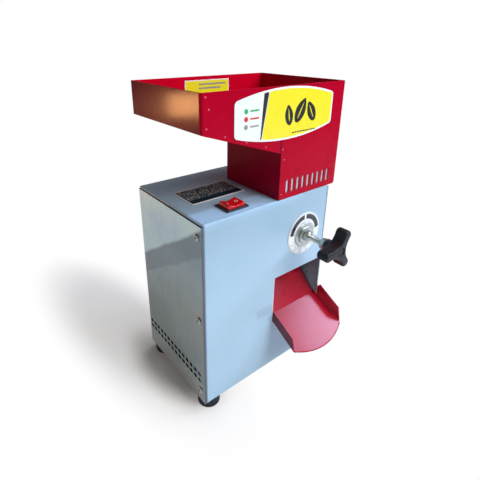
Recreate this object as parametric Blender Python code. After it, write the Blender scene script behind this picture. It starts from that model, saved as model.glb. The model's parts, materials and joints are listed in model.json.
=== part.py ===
"""Bench-top nut crusher: a folded sheet body with a hopper, a toothed drum that a belt turns, a jaw
plate that a three-arm knob moves towards the drum, and a chute.

Lengths are in metres. X runs to the right, Y to the back and Z up. Sizes are first written from the
body's lower front left corner, and an empty carries every piece, so that the origin lies on the
ground below the middle of the whole object.
"""
import math

import bmesh
import bpy
from mathutils import Matrix, Vector

MM = 0.001
TURN = 2.0 * math.pi

# Shared by all pieces
GAP = 0.3 * MM
OVERRUN = 5.0 * MM
WELD = 0.001 * MM
ROUND_STEPS = 32
SMALL_STEPS = 16
CORNER_STEPS = 4
SMOOTH_ANGLE = math.radians(35.0)

# Body shell
BODY_WIDTH = 205.0 * MM
BODY_DEPTH = 148.0 * MM
BODY_HEIGHT = 255.0 * MM
SHEET = 1.5 * MM
BEND = 2.5 * MM
FLANGE = 16.0 * MM
TOP_REVEAL = 2.6 * MM
FRONT_REVEAL = 0.6 * MM
BASE_LIP = 14.0 * MM

# Slots in the two sides
VENT_COUNT = 14
VENT_FRONT_MARGIN = 12.8 * MM
VENT_BACK_MARGIN = 8.58 * MM
VENT_LENGTH = 7.4 * MM
VENT_HEIGHT = 6.0 * MM
VENT_UPPER_Z = 41.7 * MM
VENT_LOWER_Z = 31.8 * MM

# Screws that hold the side wrap to the front sheet
SCREW_HEAD_RADIUS = 4.2 * MM
SCREW_HEAD_HEIGHT = 2.3 * MM
SCREW_RADIUS = 2.0 * MM
SCREW_LENGTH = 6.0 * MM
SCREW_CLEARANCE = 0.35 * MM
PANEL_SCREW_Y = 10.0 * MM
SCREW_END_MARGIN = 17.5 * MM
SCREW_OVER_OPENING = 15.0 * MM

# Feet
FOOT_RADIUS = 15.3 * MM
FOOT_HEIGHT = 14.0 * MM
FOOT_EDGE = 1.3 * MM
FOOT_BASE_RADIUS = 14.6 * MM
FOOT_INSET = 15.6 * MM
FOOT_STEM_RADIUS = 3.0 * MM
FOOT_STEM_HEIGHT = 5.0 * MM

# Hopper sheets
HOPPER_SHEET = 1.2 * MM
HOPPER_LEFT = 2.2 * MM
HOPPER_SIDE_OVERHANG = 8.4 * MM
HOPPER_BACK_OVERHANG = 1.5 * MM
HOPPER_RISE = 132.6 * MM
TRAY_HEIGHT = 39.3 * MM
HOPPER_BEND = 3.0 * MM
NECK_INSET = 95.1 * MM
NECK_BACK_MARGIN = 9.5 * MM
NECK_RISE = 57.8 * MM
NECK_CORNER = 3.0 * MM
NECK_FLANGE = 13.0 * MM
HOPPER_SCREW_INSET = 8.6 * MM
HOPPER_SCREW_FRONT_Y = 26.0 * MM
HOPPER_SCREW_BACK_MARGIN = 24.3 * MM

# Row of slots through the neck's front, and the light sheet behind it
NECK_SLOT_COUNT = 9
NECK_SLOT_WIDTH = 4.6 * MM
NECK_SLOT_HEIGHT = 17.0 * MM
NECK_SLOT_PITCH = 9.2 * MM
NECK_SLOT_INSET = 50.6 * MM
NECK_SLOT_RISE = 15.2 * MM
BACKING_SHEET = 1.0 * MM
BACKING_MARGIN = 6.0 * MM

# Funnel inside the neck
FUNNEL_SHEET = 1.2 * MM
FUNNEL_RISE = 45.0 * MM
FUNNEL_FRONT_INSET = 4.0 * MM
THROAT_WIDTH = 59.4 * MM
THROAT_JAW_COVER = 3.0 * MM
THROAT_DRUM_REACH = 24.0 * MM
THROAT_RISE = 2.0 * MM
THROAT_DROP = 2.5 * MM
THROAT_CLEARANCE = 1.0 * MM

# Labels
LABEL_SHEET = 0.4 * MM
HOPPER_LABEL_LEFT_MARGIN = 38.8 * MM
HOPPER_LABEL_RIGHT_MARGIN = 21.4 * MM
HOPPER_LABEL_DROP = 29.8 * MM
HOPPER_LABEL_SIDE = 36.4 * MM
HOPPER_LABEL_HEIGHT = 57.6 * MM
TRAY_LABEL_INSET = 74.5 * MM
TRAY_LABEL_WIDTH = 72.6 * MM
TRAY_LABEL_HEIGHT = 20.0 * MM
TRAY_LABEL_DROP = 4.7 * MM
TOP_PLATE_LEFT = 21.3 * MM
TOP_PLATE_FRONT = 50.0 * MM
TOP_PLATE_NECK_MARGIN = 10.4 * MM
TOP_PLATE_DEPTH = 44.6 * MM
TOP_PLATE_SHEET = 0.6 * MM

# Rocker switch in the top
SWITCH_X = 55.9 * MM
SWITCH_Y = 20.8 * MM
BEZEL_RIM = 1.8 * MM
BEZEL_HEIGHT = 2.0 * MM
BEZEL_EDGE = 0.8 * MM
SWITCH_WALL = 1.2 * MM
SWITCH_BODY_DROP = 22.0 * MM
SWITCH_WELL_DROP = 12.0 * MM
ROCKER_RADIUS = 12.2 * MM
ROCKER_DEPTH = 18.4 * MM
ROCKER_PIVOT_DROP = 1.0 * MM
ROCKER_VALLEY = 2.4 * MM
ROCKER_LOW_ANGLE = math.radians(-32.0)
ROCKER_HIGH_ANGLE = math.radians(26.0)

# Adjuster on the front
ADJUSTER_INSET = 43.3 * MM
ADJUSTER_DROP = 60.5 * MM
DIAL_RISE = 1.4 * MM
DIAL_RADIUS = 29.9 * MM
DIAL_SHEET = 0.5 * MM
PANEL_WASHER_RADIUS = 17.5 * MM
PANEL_WASHER_THICKNESS = 1.6 * MM
THRUST_WASHER_RADIUS = 12.0 * MM
THRUST_WASHER_THICKNESS = 1.6 * MM
NUT_FLATS = 13.0 * MM
NUT_HEIGHT = 6.5 * MM
NUT_CHAMFER = 0.7 * MM
ROD_RADIUS = 4.0 * MM
ROD_COLLAR_RADIUS = 7.0 * MM
KNOB_STANDOFF = 37.0 * MM
KNOB_HUB_RADIUS = 8.5 * MM
KNOB_HUB_LENGTH = 7.5 * MM
KNOB_THICKNESS = 16.0 * MM
KNOB_REACH = 28.0 * MM
KNOB_TIP_RADIUS = 6.1 * MM
KNOB_WAIST_RADIUS = 9.9 * MM
KNOB_EDGE = 2.6 * MM
KNOB_ARMS = 3
KNOB_FIRST_ARM = math.radians(62.0)
KNOB_BORE_DEPTH = 16.0 * MM
KNOB_ARC_STEPS = 8

# Crushing chamber
CHAMBER_SIDE_CLEARANCE = 9.0 * MM
CHAMBER_PLATE = 3.0 * MM
CHAMBER_FRONT = 3.0 * MM
CHAMBER_DROP = 44.5 * MM
CHAMBER_LEG = 12.0 * MM
BRIDGE_THICKNESS = 8.0 * MM
BRIDGE_HEIGHT = 28.0 * MM
BACK_SHEET = 2.0 * MM
LEG_MARGIN = 1.0 * MM
DEFLECTOR_DROP = 3.2 * MM
DEFLECTOR_REACH = 20.0 * MM
DRUM_CLEARANCE = 3.0 * MM

# Drum and its shaft
DRUM_RISE = 5.5 * MM
NIP_GAP = 6.0 * MM
DRUM_RADIUS = 28.0 * MM
DRUM_TEETH = 20
DRUM_TOOTH_DEPTH = 2.6 * MM
DRUM_TOOTH_LAND_SHARE = 0.25
DRUM_SIDE_GAP = 1.0 * MM
DRUM_CORE_RADIUS = 8.0 * MM
SHAFT_SHOULDER = 0.7 * MM
BEARING_BORE_RADIUS = 6.0 * MM
BEARING_OUTER_RADIUS = 14.0 * MM
BEARING_WIDTH = 7.0 * MM
BEARING_SHIELD_DEPTH = 0.6 * MM
BEARING_RACE = 2.2 * MM
CUP_FLANGE = 3.0 * MM
CUP_FLANGE_RADIUS = 23.5 * MM
CUP_WALL = 2.7 * MM
CUP_NOSE = 2.6 * MM
CUP_FLOOR = 1.2 * MM
CUP_FLOOR_HOLE_RADIUS = 9.0 * MM

# Jaw that slides towards the drum
JAW_BRIDGE_CLEARANCE = 3.2 * MM
CARRIER_THICKNESS = 8.0 * MM
JAW_BELOW_AXIS = 22.5 * MM
JAW_TOP_MARGIN = 7.2 * MM
JAW_SIDE_GAP = 0.4 * MM
JAW_TIP_THICKNESS = 3.6 * MM
JAW_NIP_THICKNESS = 7.7 * MM
JAW_TOOTH_DEPTH = 1.1 * MM
JAW_TEETH_ABOVE = 10
JAW_TEETH_BELOW = 6
COLLAR_POCKET_DEPTH = 4.0 * MM
GUIDE_PIN_RADIUS = 2.5 * MM
GUIDE_PIN_BELOW_AXIS = 15.5 * MM
GUIDE_PIN_ABOVE_AXIS = 38.5 * MM
JAW_TRAVEL_OUT = 5.0 * MM
JAW_TRAVEL_IN = 3.75 * MM

# Chute
CHUTE_SHEET = 1.2 * MM
CHUTE_SIDE_CLEARANCE = 0.75 * MM
CHUTE_OVERHANG = 4.8 * MM
CHUTE_BELOW_DRUM = 125.4 * MM
CHUTE_FALL_SHARE = 0.545
CHUTE_STEEP_SHARE = 1.1
CHUTE_BEND_Y = 8.0 * MM
CHUTE_END_MARGIN = 2.0 * MM
CHUTE_WALL_HEIGHT = 14.8 * MM
CHUTE_RIGHT_WALL_HEIGHT = 18.2 * MM
CHUTE_FLANGE_STEP = 3.8 * MM
CHUTE_WALL_FRONT_Y = -41.2 * MM
CHUTE_WALL_TOP_FRONT_Y = -36.9 * MM
CHUTE_LIP_FRONT_Y = -53.6 * MM
CHUTE_LIP_CORNER = 6.0 * MM
CHUTE_LIP_STEPS = 12
OPENING_SIDE_MARGIN = 15.4 * MM
OPENING_UNDER_CHAMBER = 5.0 * MM
NOTCH_HEIGHT = 5.2 * MM
NOTCH_MARGIN = 0.4 * MM

# Belt drive
PULLEY_OFFSET = 26.4 * MM
PULLEY_WIDTH = 14.0 * MM
DRUM_PULLEY_PITCH = 32.5 * MM
MOTOR_PULLEY_PITCH = 13.0 * MM
BELT_TOP_WIDTH = 8.0 * MM
BELT_INNER_WIDTH = 5.6 * MM
BELT_HEIGHT = 5.0 * MM
BELT_SIDE_CLEARANCE = 0.4 * MM
GROOVE_FLOOR_CLEARANCE = 0.8 * MM
RIM_RISE = 0.6 * MM
PULLEY_WEB_RECESS = 3.5 * MM
PULLEY_HUB_RADIUS = 11.0 * MM
PULLEY_RIM_WALL = 3.5 * MM
BELT_ARC_STEPS = 16

# Motor
MOTOR_Y = 75.0 * MM
MOTOR_Z = 60.0 * MM
MOTOR_RADIUS = 42.0 * MM
MOTOR_REAR_X = 8.0 * MM
STATOR_START_X = 25.0 * MM
PULLEY_BRACKET_CLEARANCE = 2.6 * MM
STATOR_BORE_RADIUS = 23.0 * MM
ROTOR_GAP = 0.6 * MM
ROTOR_MARGIN = 1.5 * MM
MOTOR_SHAFT_RADIUS = 5.0 * MM
BELL_WALL = 3.5 * MM
BELL_EDGE = 6.0 * MM
BELL_BOSS_RADIUS = 13.0 * MM
BELL_BOSS_LENGTH = 8.0 * MM
FRONT_BELL_LENGTH = 13.5 * MM
BRACKET_SHEET = 3.0 * MM
BRACKET_WIDTH = 86.0 * MM
BRACKET_HEIGHT = 104.0 * MM
BRACKET_FOOT = 18.0 * MM
BRACKET_HOLE_RADIUS = 15.0 * MM
CAPACITOR_OFFSET = 18.7 * MM
CAPACITOR_BACK_MARGIN = 18.0 * MM
CAPACITOR_RADIUS = 13.0 * MM
CAPACITOR_HEIGHT = 55.0 * MM
CAPACITOR_EDGE = 1.5 * MM
CAPACITOR_TERMINAL_RADIUS = 5.0 * MM
CAPACITOR_TERMINAL_HEIGHT = 6.0 * MM

# Mains inlet in the back
INLET_OFFSET = 10.3 * MM
INLET_Z = 45.0 * MM
INLET_FLANGE_WIDTH = 48.0 * MM
INLET_FLANGE_HEIGHT = 26.0 * MM
INLET_FLANGE = 2.5 * MM
INLET_BODY_WIDTH = 27.0 * MM
INLET_BODY_HEIGHT = 20.0 * MM
INLET_BODY_DEPTH = 22.0 * MM
INLET_SOCKET_WIDTH = 24.0 * MM
INLET_SOCKET_HEIGHT = 16.6 * MM
INLET_SOCKET_DEPTH = 17.0 * MM
INLET_BLADE_WIDTH = 2.0 * MM
INLET_BLADE_HEIGHT = 4.0 * MM
INLET_BLADE_LENGTH = 11.5 * MM
INLET_BLADE_PITCH = 7.0 * MM
INLET_EARTH_DROP = 2.5 * MM
INLET_CORNER = 4.0 * MM

# Places that several pieces share
SIDE_INSET = SHEET + GAP
RIGHT_FACE = BODY_WIDTH - SIDE_INSET
ADJUSTER_X = BODY_WIDTH - ADJUSTER_INSET
ADJUSTER_Z = BODY_HEIGHT - ADJUSTER_DROP
DIAL_Z = ADJUSTER_Z + DIAL_RISE
PANEL_WASHER_FACE = GAP + DIAL_SHEET + GAP + PANEL_WASHER_THICKNESS
THRUST_WASHER_FACE = PANEL_WASHER_FACE + GAP + THRUST_WASHER_THICKNESS
KNOB_FRONT = KNOB_STANDOFF + KNOB_HUB_LENGTH + KNOB_THICKNESS

CHAMBER_RIGHT = BODY_WIDTH - CHAMBER_SIDE_CLEARANCE
CHAMBER_LEFT = 2 * ADJUSTER_X - CHAMBER_RIGHT
CHAMBER_TOP = BODY_HEIGHT - SHEET - GAP
CHAMBER_BOTTOM = ADJUSTER_Z - CHAMBER_DROP
BRIDGE_FRONT = SHEET + GAP
BRIDGE_BACK = BRIDGE_FRONT + BRIDGE_THICKNESS
JAW_FRONT = BRIDGE_BACK + JAW_TRAVEL_OUT + JAW_BRIDGE_CLEARANCE
CARRIER_BACK = JAW_FRONT + CARRIER_THICKNESS
JAW_BOTTOM = ADJUSTER_Z - JAW_BELOW_AXIS
JAW_TOP = CHAMBER_TOP - JAW_TOP_MARGIN
GUIDE_PIN_Y = JAW_FRONT + CARRIER_THICKNESS / 2
GUIDE_PIN_LOW_Z = ADJUSTER_Z - GUIDE_PIN_BELOW_AXIS
GUIDE_PIN_HIGH_Z = ADJUSTER_Z + GUIDE_PIN_ABOVE_AXIS
DRUM_Y = CARRIER_BACK + GAP + JAW_NIP_THICKNESS + NIP_GAP + DRUM_RADIUS
DRUM_Z = ADJUSTER_Z + DRUM_RISE
DRUM_LENGTH = CHAMBER_RIGHT - CHAMBER_LEFT - 2 * (CUP_NOSE + DRUM_SIDE_GAP)
BACK_PLATE_FRONT = DRUM_Y + DRUM_RADIUS + DRUM_CLEARANCE
CHAMBER_BACK = BACK_PLATE_FRONT + LEG_MARGIN + CHAMBER_LEG
DEFLECTOR_TOP = CHAMBER_TOP - DEFLECTOR_DROP
DEFLECTOR_FALL = DEFLECTOR_TOP - DRUM_Z - DRUM_RADIUS - DRUM_CLEARANCE

HOPPER_RIGHT = BODY_WIDTH + HOPPER_SIDE_OVERHANG
HOPPER_BACK = BODY_DEPTH + HOPPER_BACK_OVERHANG
HOPPER_TOP = BODY_HEIGHT + HOPPER_RISE
CORNER_CLEARANCE = (HOPPER_BEND - HOPPER_SHEET) * (1.0 - math.sqrt(0.5)) + GAP / 2
TRAY_BOTTOM = HOPPER_TOP - TRAY_HEIGHT
THROAT_LEFT = ADJUSTER_X - THROAT_WIDTH / 2
THROAT_RIGHT = ADJUSTER_X + THROAT_WIDTH / 2
THROAT_FRONT = JAW_FRONT + THROAT_JAW_COVER
THROAT_BACK = DRUM_Y + THROAT_DRUM_REACH
NECK_LEFT = BODY_WIDTH - NECK_INSET
NECK_BACK = THROAT_BACK + NECK_BACK_MARGIN
NECK_TOP = BODY_HEIGHT + NECK_RISE
NECK_BASE = BODY_HEIGHT + GAP
NECK_SLOT_CENTRE_X = NECK_LEFT + NECK_SLOT_INSET
NECK_SLOT_CENTRE_Z = NECK_BASE + NECK_SLOT_RISE
FUNNEL_TOP = BODY_HEIGHT + FUNNEL_RISE
HOPPER_SCREW_X = NECK_LEFT + HOPPER_SCREW_INSET
HOPPER_SCREW_REAR_Y = NECK_BACK - HOPPER_SCREW_BACK_MARGIN

HOPPER_LABEL_WIDTH = HOPPER_RIGHT - HOPPER_LEFT - HOPPER_LABEL_LEFT_MARGIN - HOPPER_LABEL_RIGHT_MARGIN
HOPPER_LABEL_X = HOPPER_LEFT + HOPPER_LABEL_LEFT_MARGIN + HOPPER_LABEL_WIDTH / 2
HOPPER_LABEL_Z = HOPPER_TOP - HOPPER_LABEL_DROP
TRAY_LABEL_LEFT = HOPPER_LEFT + TRAY_LABEL_INSET
TRAY_LABEL_TOP = HOPPER_TOP - TRAY_LABEL_DROP
TOP_PLATE_RIGHT = NECK_LEFT - TOP_PLATE_NECK_MARGIN

SWITCH_BODY_WIDTH = 2 * (ROCKER_RADIUS + GAP + SWITCH_WALL)
SWITCH_BODY_DEPTH = ROCKER_DEPTH + 2 * (GAP + SWITCH_WALL)
BEZEL_WIDTH = SWITCH_BODY_WIDTH + 2 * BEZEL_RIM
BEZEL_DEPTH = SWITCH_BODY_DEPTH + 2 * BEZEL_RIM
PIVOT_Z = BODY_HEIGHT + GAP + BEZEL_HEIGHT - ROCKER_PIVOT_DROP

CHUTE_UNDERSIDE = DRUM_Z - CHUTE_BELOW_DRUM
CHUTE_END_Y = BACK_PLATE_FRONT - CHUTE_END_MARGIN
OPENING_LEFT = CHAMBER_LEFT - OPENING_SIDE_MARGIN
OPENING_TOP = CHAMBER_BOTTOM - OPENING_UNDER_CHAMBER
OPENING_BOTTOM = CHUTE_UNDERSIDE - GAP
NOTCH_DEPTH = CHUTE_BEND_Y + NOTCH_MARGIN
CHUTE_LEFT = OPENING_LEFT + CHUTE_SIDE_CLEARANCE
CHUTE_RIGHT = BODY_WIDTH + CHUTE_OVERHANG

VENT_PITCH = (BODY_DEPTH - VENT_FRONT_MARGIN - VENT_BACK_MARGIN) / (VENT_COUNT - 1)
SCREW_HIGH_Z = BODY_HEIGHT - SCREW_END_MARGIN
SCREW_RIGHT_MIDDLE_Z = OPENING_TOP + SCREW_OVER_OPENING

PULLEY_X = CHAMBER_LEFT - PULLEY_OFFSET
BRACKET_X = PULLEY_X - PULLEY_WIDTH / 2 - PULLEY_BRACKET_CLEARANCE - BRACKET_SHEET
STATOR_END_X = BRACKET_X - GAP - FRONT_BELL_LENGTH - GAP
CAPACITOR_X = ADJUSTER_X - CAPACITOR_OFFSET
CAPACITOR_Y = BODY_DEPTH - CAPACITOR_BACK_MARGIN
INLET_X = ADJUSTER_X + INLET_OFFSET
INLET_FACE = BODY_DEPTH + GAP + INLET_FLANGE

PART_LEFT = -(GAP + SCREW_HEAD_HEIGHT)
PART_BACK = max(INLET_FACE, HOPPER_BACK)
CENTRE_X = (PART_LEFT + HOPPER_RIGHT) / 2
CENTRE_Y = (PART_BACK - KNOB_FRONT) / 2

# Finish of each material: colour, roughness, metallic
FINISHES = {
    "grey_blue_paint": ((0.42, 0.58, 0.74), 0.35, 0.1),
    "brushed_steel": ((0.50, 0.51, 0.49), 0.38, 0.9),
    "red_paint": ((0.52, 0.0, 0.03), 0.28, 0.0),
    "zinc": ((0.62, 0.66, 0.62), 0.3, 0.95),
    "cast_steel": ((0.30, 0.30, 0.31), 0.5, 0.9),
    "black_plastic": ((0.012, 0.014, 0.018), 0.4, 0.0),
    "red_plastic": ((0.62, 0.01, 0.02), 0.25, 0.0),
    "rubber": ((0.01, 0.01, 0.011), 0.75, 0.0),
    "label_yellow": ((0.86, 0.82, 0.03), 0.4, 0.0),
    "label_white": ((0.82, 0.84, 0.84), 0.4, 0.0),
    "label_black": ((0.012, 0.013, 0.016), 0.45, 0.0),
    "light_sheet": ((0.58, 0.66, 0.74), 0.4, 0.2),
    "aluminium": ((0.60, 0.60, 0.61), 0.4, 0.9),
}


def clear_scene():
    """Remove every object that the file opened with."""
    for item in list(bpy.data.objects):
        bpy.data.objects.remove(item, do_unlink=True)


def make_materials():
    """Make one Principled material for each finish."""
    made = {}
    for name, (colour, roughness, metallic) in FINISHES.items():
        material = bpy.data.materials.new(name)
        material.use_nodes = True
        shader = material.node_tree.nodes["Principled BSDF"]
        shader.inputs["Base Color"].default_value = (*colour, 1.0)
        shader.inputs["Roughness"].default_value = roughness
        shader.inputs["Metallic"].default_value = metallic
        made[name] = material
    return made


def make_carrier():
    """Make the empty that moves the body's corner to its place over the origin."""
    empty = bpy.data.objects.new("ground_point", None)
    empty.location = (-CENTRE_X, -CENTRE_Y, FOOT_HEIGHT)
    bpy.context.scene.collection.objects.link(empty)
    return empty


clear_scene()
MATERIALS = make_materials()
CARRIER = make_carrier()


def in_space(axis, u, v, along):
    """Place a point (u, v) of a flat outline at a distance along the axis it faces."""
    if axis == "X":
        return Vector((along, u, v))
    if axis == "Y":
        return Vector((u, along, v))
    return Vector((u, v, along))


def arc(centre, radius, start, end, steps):
    """Points of an arc in a flat outline, with both ends, from one angle to the other."""
    angles = [start + (end - start) * i / steps for i in range(steps + 1)]
    return [(centre[0] + radius * math.cos(a), centre[1] + radius * math.sin(a)) for a in angles]


def prism(outline, axis, low, high):
    """Extrude a flat outline along an axis."""
    bm = bmesh.new()
    face = bm.faces.new([bm.verts.new(in_space(axis, u, v, low)) for u, v in outline])
    grown = bmesh.ops.extrude_face_region(bm, geom=[face])["geom"]
    verts = [item for item in grown if isinstance(item, bmesh.types.BMVert)]
    bmesh.ops.translate(bm, verts=verts, vec=in_space(axis, 0.0, 0.0, high - low))
    return bm


def block(low, high):
    """A box between two corners."""
    bm = bmesh.new()
    low, high = Vector(low), Vector(high)
    place = Matrix.Translation((low + high) / 2) @ Matrix.Diagonal((*(high - low), 1.0))
    bmesh.ops.create_cube(bm, size=1.0, matrix=place)
    return bm


def turned(profile, axis, centre, steps=ROUND_STEPS):
    """Turn a profile of (radius, distance along the axis) about an axis through a centre.

    A profile that starts and ends on the axis is open, and any other is closed into a ring.
    """
    bm = bmesh.new()
    verts = [bm.verts.new(in_space(axis, radius, 0.0, along)) for radius, along in profile]
    edges = [bm.edges.new(pair) for pair in zip(verts, verts[1:])]
    if profile[0][0] > WELD:
        edges.append(bm.edges.new((verts[-1], verts[0])))
    direction = in_space(axis, 0.0, 0.0, 1.0)
    bmesh.ops.spin(bm, geom=verts + edges, cent=(0.0, 0.0, 0.0), axis=direction, angle=TURN, steps=steps)
    bmesh.ops.remove_doubles(bm, verts=bm.verts, dist=WELD)
    bmesh.ops.translate(bm, verts=bm.verts, vec=Vector(centre))
    return bm


def cylinder(radius, axis, centre, low, high, steps=ROUND_STEPS):
    """A solid round bar between two distances along an axis."""
    profile = [(0.0, low), (radius, low), (radius, high), (0.0, high)]
    return turned(profile, axis, centre, steps)


def bevel(bm, wanted, width, segments=CORNER_STEPS):
    """Round the edges whose two ends both pass a test."""
    edges = [edge for edge in bm.edges if wanted(edge.verts[0].co, edge.verts[1].co)]
    bmesh.ops.bevel(bm, geom=edges, offset=width, segments=segments, profile=0.5, affect="EDGES")
    return bm


def divided(bm, direction, places):
    """Divide a solid's faces by planes square to a direction, so that each hole has a face of its own."""
    for place in places:
        every = bm.verts[:] + bm.edges[:] + bm.faces[:]
        bmesh.ops.bisect_plane(bm, geom=every, plane_co=Vector(direction) * place, plane_no=direction)
    return bm


def joined(parts):
    """Put several meshes that don't touch into one, as for a set of cutters."""
    whole = bmesh.new()
    for part in parts:
        mesh = bpy.data.meshes.new("loose")
        bmesh.ops.recalc_face_normals(part, faces=part.faces)
        part.to_mesh(mesh)
        part.free()
        whole.from_mesh(mesh)
        bpy.data.meshes.remove(mesh)
    return whole


def piece(name, bm, finish, origin=(0.0, 0.0, 0.0), smooth=False):
    """Make the named object of one sub-part, with its origin at a point of the body's frame."""
    bmesh.ops.recalc_face_normals(bm, faces=bm.faces)
    bmesh.ops.translate(bm, verts=bm.verts, vec=-Vector(origin))
    mesh = bpy.data.meshes.new(name)
    bm.to_mesh(mesh)
    bm.free()
    if smooth:
        mesh.shade_smooth()
        mesh.set_sharp_from_angle(angle=SMOOTH_ANGLE)
    made = bpy.data.objects.new(name, mesh)
    made.location = origin
    made.parent = CARRIER
    if finish:
        mesh.materials.append(MATERIALS[finish])
    bpy.context.scene.collection.objects.link(made)
    return made


def cut(target, name, bm):
    """Cut a piece with a hidden cutter."""
    cutter = piece(f"{target.name}_{name}_cutter", bm, None)
    cutter.hide_render = True
    cutter.display_type = "WIRE"
    modifier = target.modifiers.new(name, "BOOLEAN")
    modifier.operation = "DIFFERENCE"
    modifier.solver = "EXACT"
    modifier.object = cutter


def fuse(target, name, bm):
    """Join a hidden solid to the piece that it overlaps."""
    helper = piece(f"{target.name}_{name}_helper", bm, None)
    helper.hide_render = True
    helper.display_type = "WIRE"
    modifier = target.modifiers.new(name, "BOOLEAN")
    modifier.operation = "UNION"
    modifier.solver = "EXACT"
    modifier.object = helper


def rounded_slot(centre, length, height, steps=CORNER_STEPS):
    """Outline of a slot with round ends, longer along its first direction."""
    radius = height / 2
    reach = length / 2 - radius
    right = arc((centre[0] + reach, centre[1]), radius, -TURN / 4, TURN / 4, steps)
    left = arc((centre[0] - reach, centre[1]), radius, TURN / 4, 3 * TURN / 4, steps)
    return right + left


def chute_top(y):
    """Height of the chute's upper face at a depth."""
    upright = CHUTE_SHEET * math.hypot(1.0, CHUTE_FALL_SHARE)
    bend_z = CHUTE_UNDERSIDE + upright + CHUTE_FALL_SHARE * CHUTE_BEND_Y
    slope = CHUTE_STEEP_SHARE if y > CHUTE_BEND_Y else CHUTE_FALL_SHARE
    return bend_z + slope * (y - CHUTE_BEND_Y)


def make_front_top_sheet():
    """The painted sheet that makes the front and the top, with flanges behind the side wrap."""
    left, right = SIDE_INSET, RIGHT_FACE

    def is_fold(a, b, side_low, side_high, front, top):
        sides = all(min(abs(p.x - side_low), abs(p.x - side_high)) < WELD for p in (a, b))
        at_front = all(abs(p.y - front) < WELD for p in (a, b))
        at_top = all(abs(p.z - top) < WELD for p in (a, b))
        return (at_front and at_top) or (sides and (at_front or at_top))

    outer = block((left, 0.0, 0.0), (right, BODY_DEPTH, BODY_HEIGHT))
    bevel(outer, lambda a, b: is_fold(a, b, left, right, 0.0, BODY_HEIGHT), BEND)
    sheet = piece("front_top_sheet", outer, "grey_blue_paint", smooth=True)
    inner_left, inner_right = left + SHEET, right - SHEET
    inner_top = BODY_HEIGHT - SHEET
    inner = block((inner_left, SHEET, -OVERRUN), (inner_right, BODY_DEPTH + OVERRUN, inner_top))
    bevel(inner, lambda a, b: is_fold(a, b, inner_left, inner_right, SHEET, inner_top), BEND - SHEET)
    cut(sheet, "hollow", inner)
    far = BODY_WIDTH + OVERRUN
    window = block((-OVERRUN, FLANGE, -OVERRUN), (far, BODY_DEPTH + OVERRUN, BODY_HEIGHT - FLANGE))
    cut(sheet, "side_window", window)
    relief_front = BODY_DEPTH - SHEET - GAP
    relief_top = BODY_HEIGHT - TOP_REVEAL + GAP
    relief = block((-OVERRUN, relief_front, FLANGE), (far, BODY_DEPTH + OVERRUN, relief_top))
    cut(sheet, "rear_relief", relief)
    opening = block((OPENING_LEFT, -OVERRUN, OPENING_BOTTOM), (far, FLANGE + OVERRUN, OPENING_TOP))
    cut(sheet, "chute_opening", opening)
    half_width = SWITCH_BODY_WIDTH / 2 + GAP
    half_depth = SWITCH_BODY_DEPTH / 2 + GAP
    below, above = BODY_HEIGHT - FLANGE, BODY_HEIGHT + OVERRUN
    switch_hole = block(
        (SWITCH_X - half_width, SWITCH_Y - half_depth, below),
        (SWITCH_X + half_width, SWITCH_Y + half_depth, above),
    )
    spout = FUNNEL_SHEET + THROAT_CLEARANCE
    throat_hole = block(
        (THROAT_LEFT - spout, THROAT_FRONT - spout, below),
        (THROAT_RIGHT + spout, THROAT_BACK + spout, above),
    )
    screw_holes = [
        cylinder(SCREW_RADIUS + SCREW_CLEARANCE, "Z", (HOPPER_SCREW_X, y, 0.0), below, above, SMALL_STEPS)
        for y in (HOPPER_SCREW_FRONT_Y, HOPPER_SCREW_REAR_Y)
    ]
    cut(sheet, "top_holes", joined([switch_hole, throat_hole, *screw_holes]))
    rod_hole_centre = (ADJUSTER_X, 0.0, ADJUSTER_Z)
    rod_hole = cylinder(ROD_RADIUS + THROAT_CLEARANCE, "Y", rod_hole_centre, -OVERRUN, OVERRUN)
    cut(sheet, "front_holes", joined([rod_hole, *panel_screw_holes()]))


def panel_screw_places():
    """Name, side and height of each screw of the side wrap."""
    return (
        ("left_low", "left", SCREW_END_MARGIN),
        ("left_middle", "left", BODY_HEIGHT / 2),
        ("left_high", "left", SCREW_HIGH_Z),
        ("right_low", "right", SCREW_END_MARGIN),
        ("right_middle", "right", SCREW_RIGHT_MIDDLE_Z),
        ("right_high", "right", SCREW_HIGH_Z),
    )


def panel_screw_holes():
    """Cutters for the screws through the side wrap and the front sheet's flanges."""
    radius = SCREW_RADIUS + SCREW_CLEARANCE
    holes = []
    for _, side, z in panel_screw_places():
        low = -OVERRUN if side == "left" else BODY_WIDTH - OVERRUN
        holes.append(cylinder(radius, "X", (0.0, PANEL_SCREW_Y, z), low, low + 2 * OVERRUN, SMALL_STEPS))
    return holes


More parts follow.
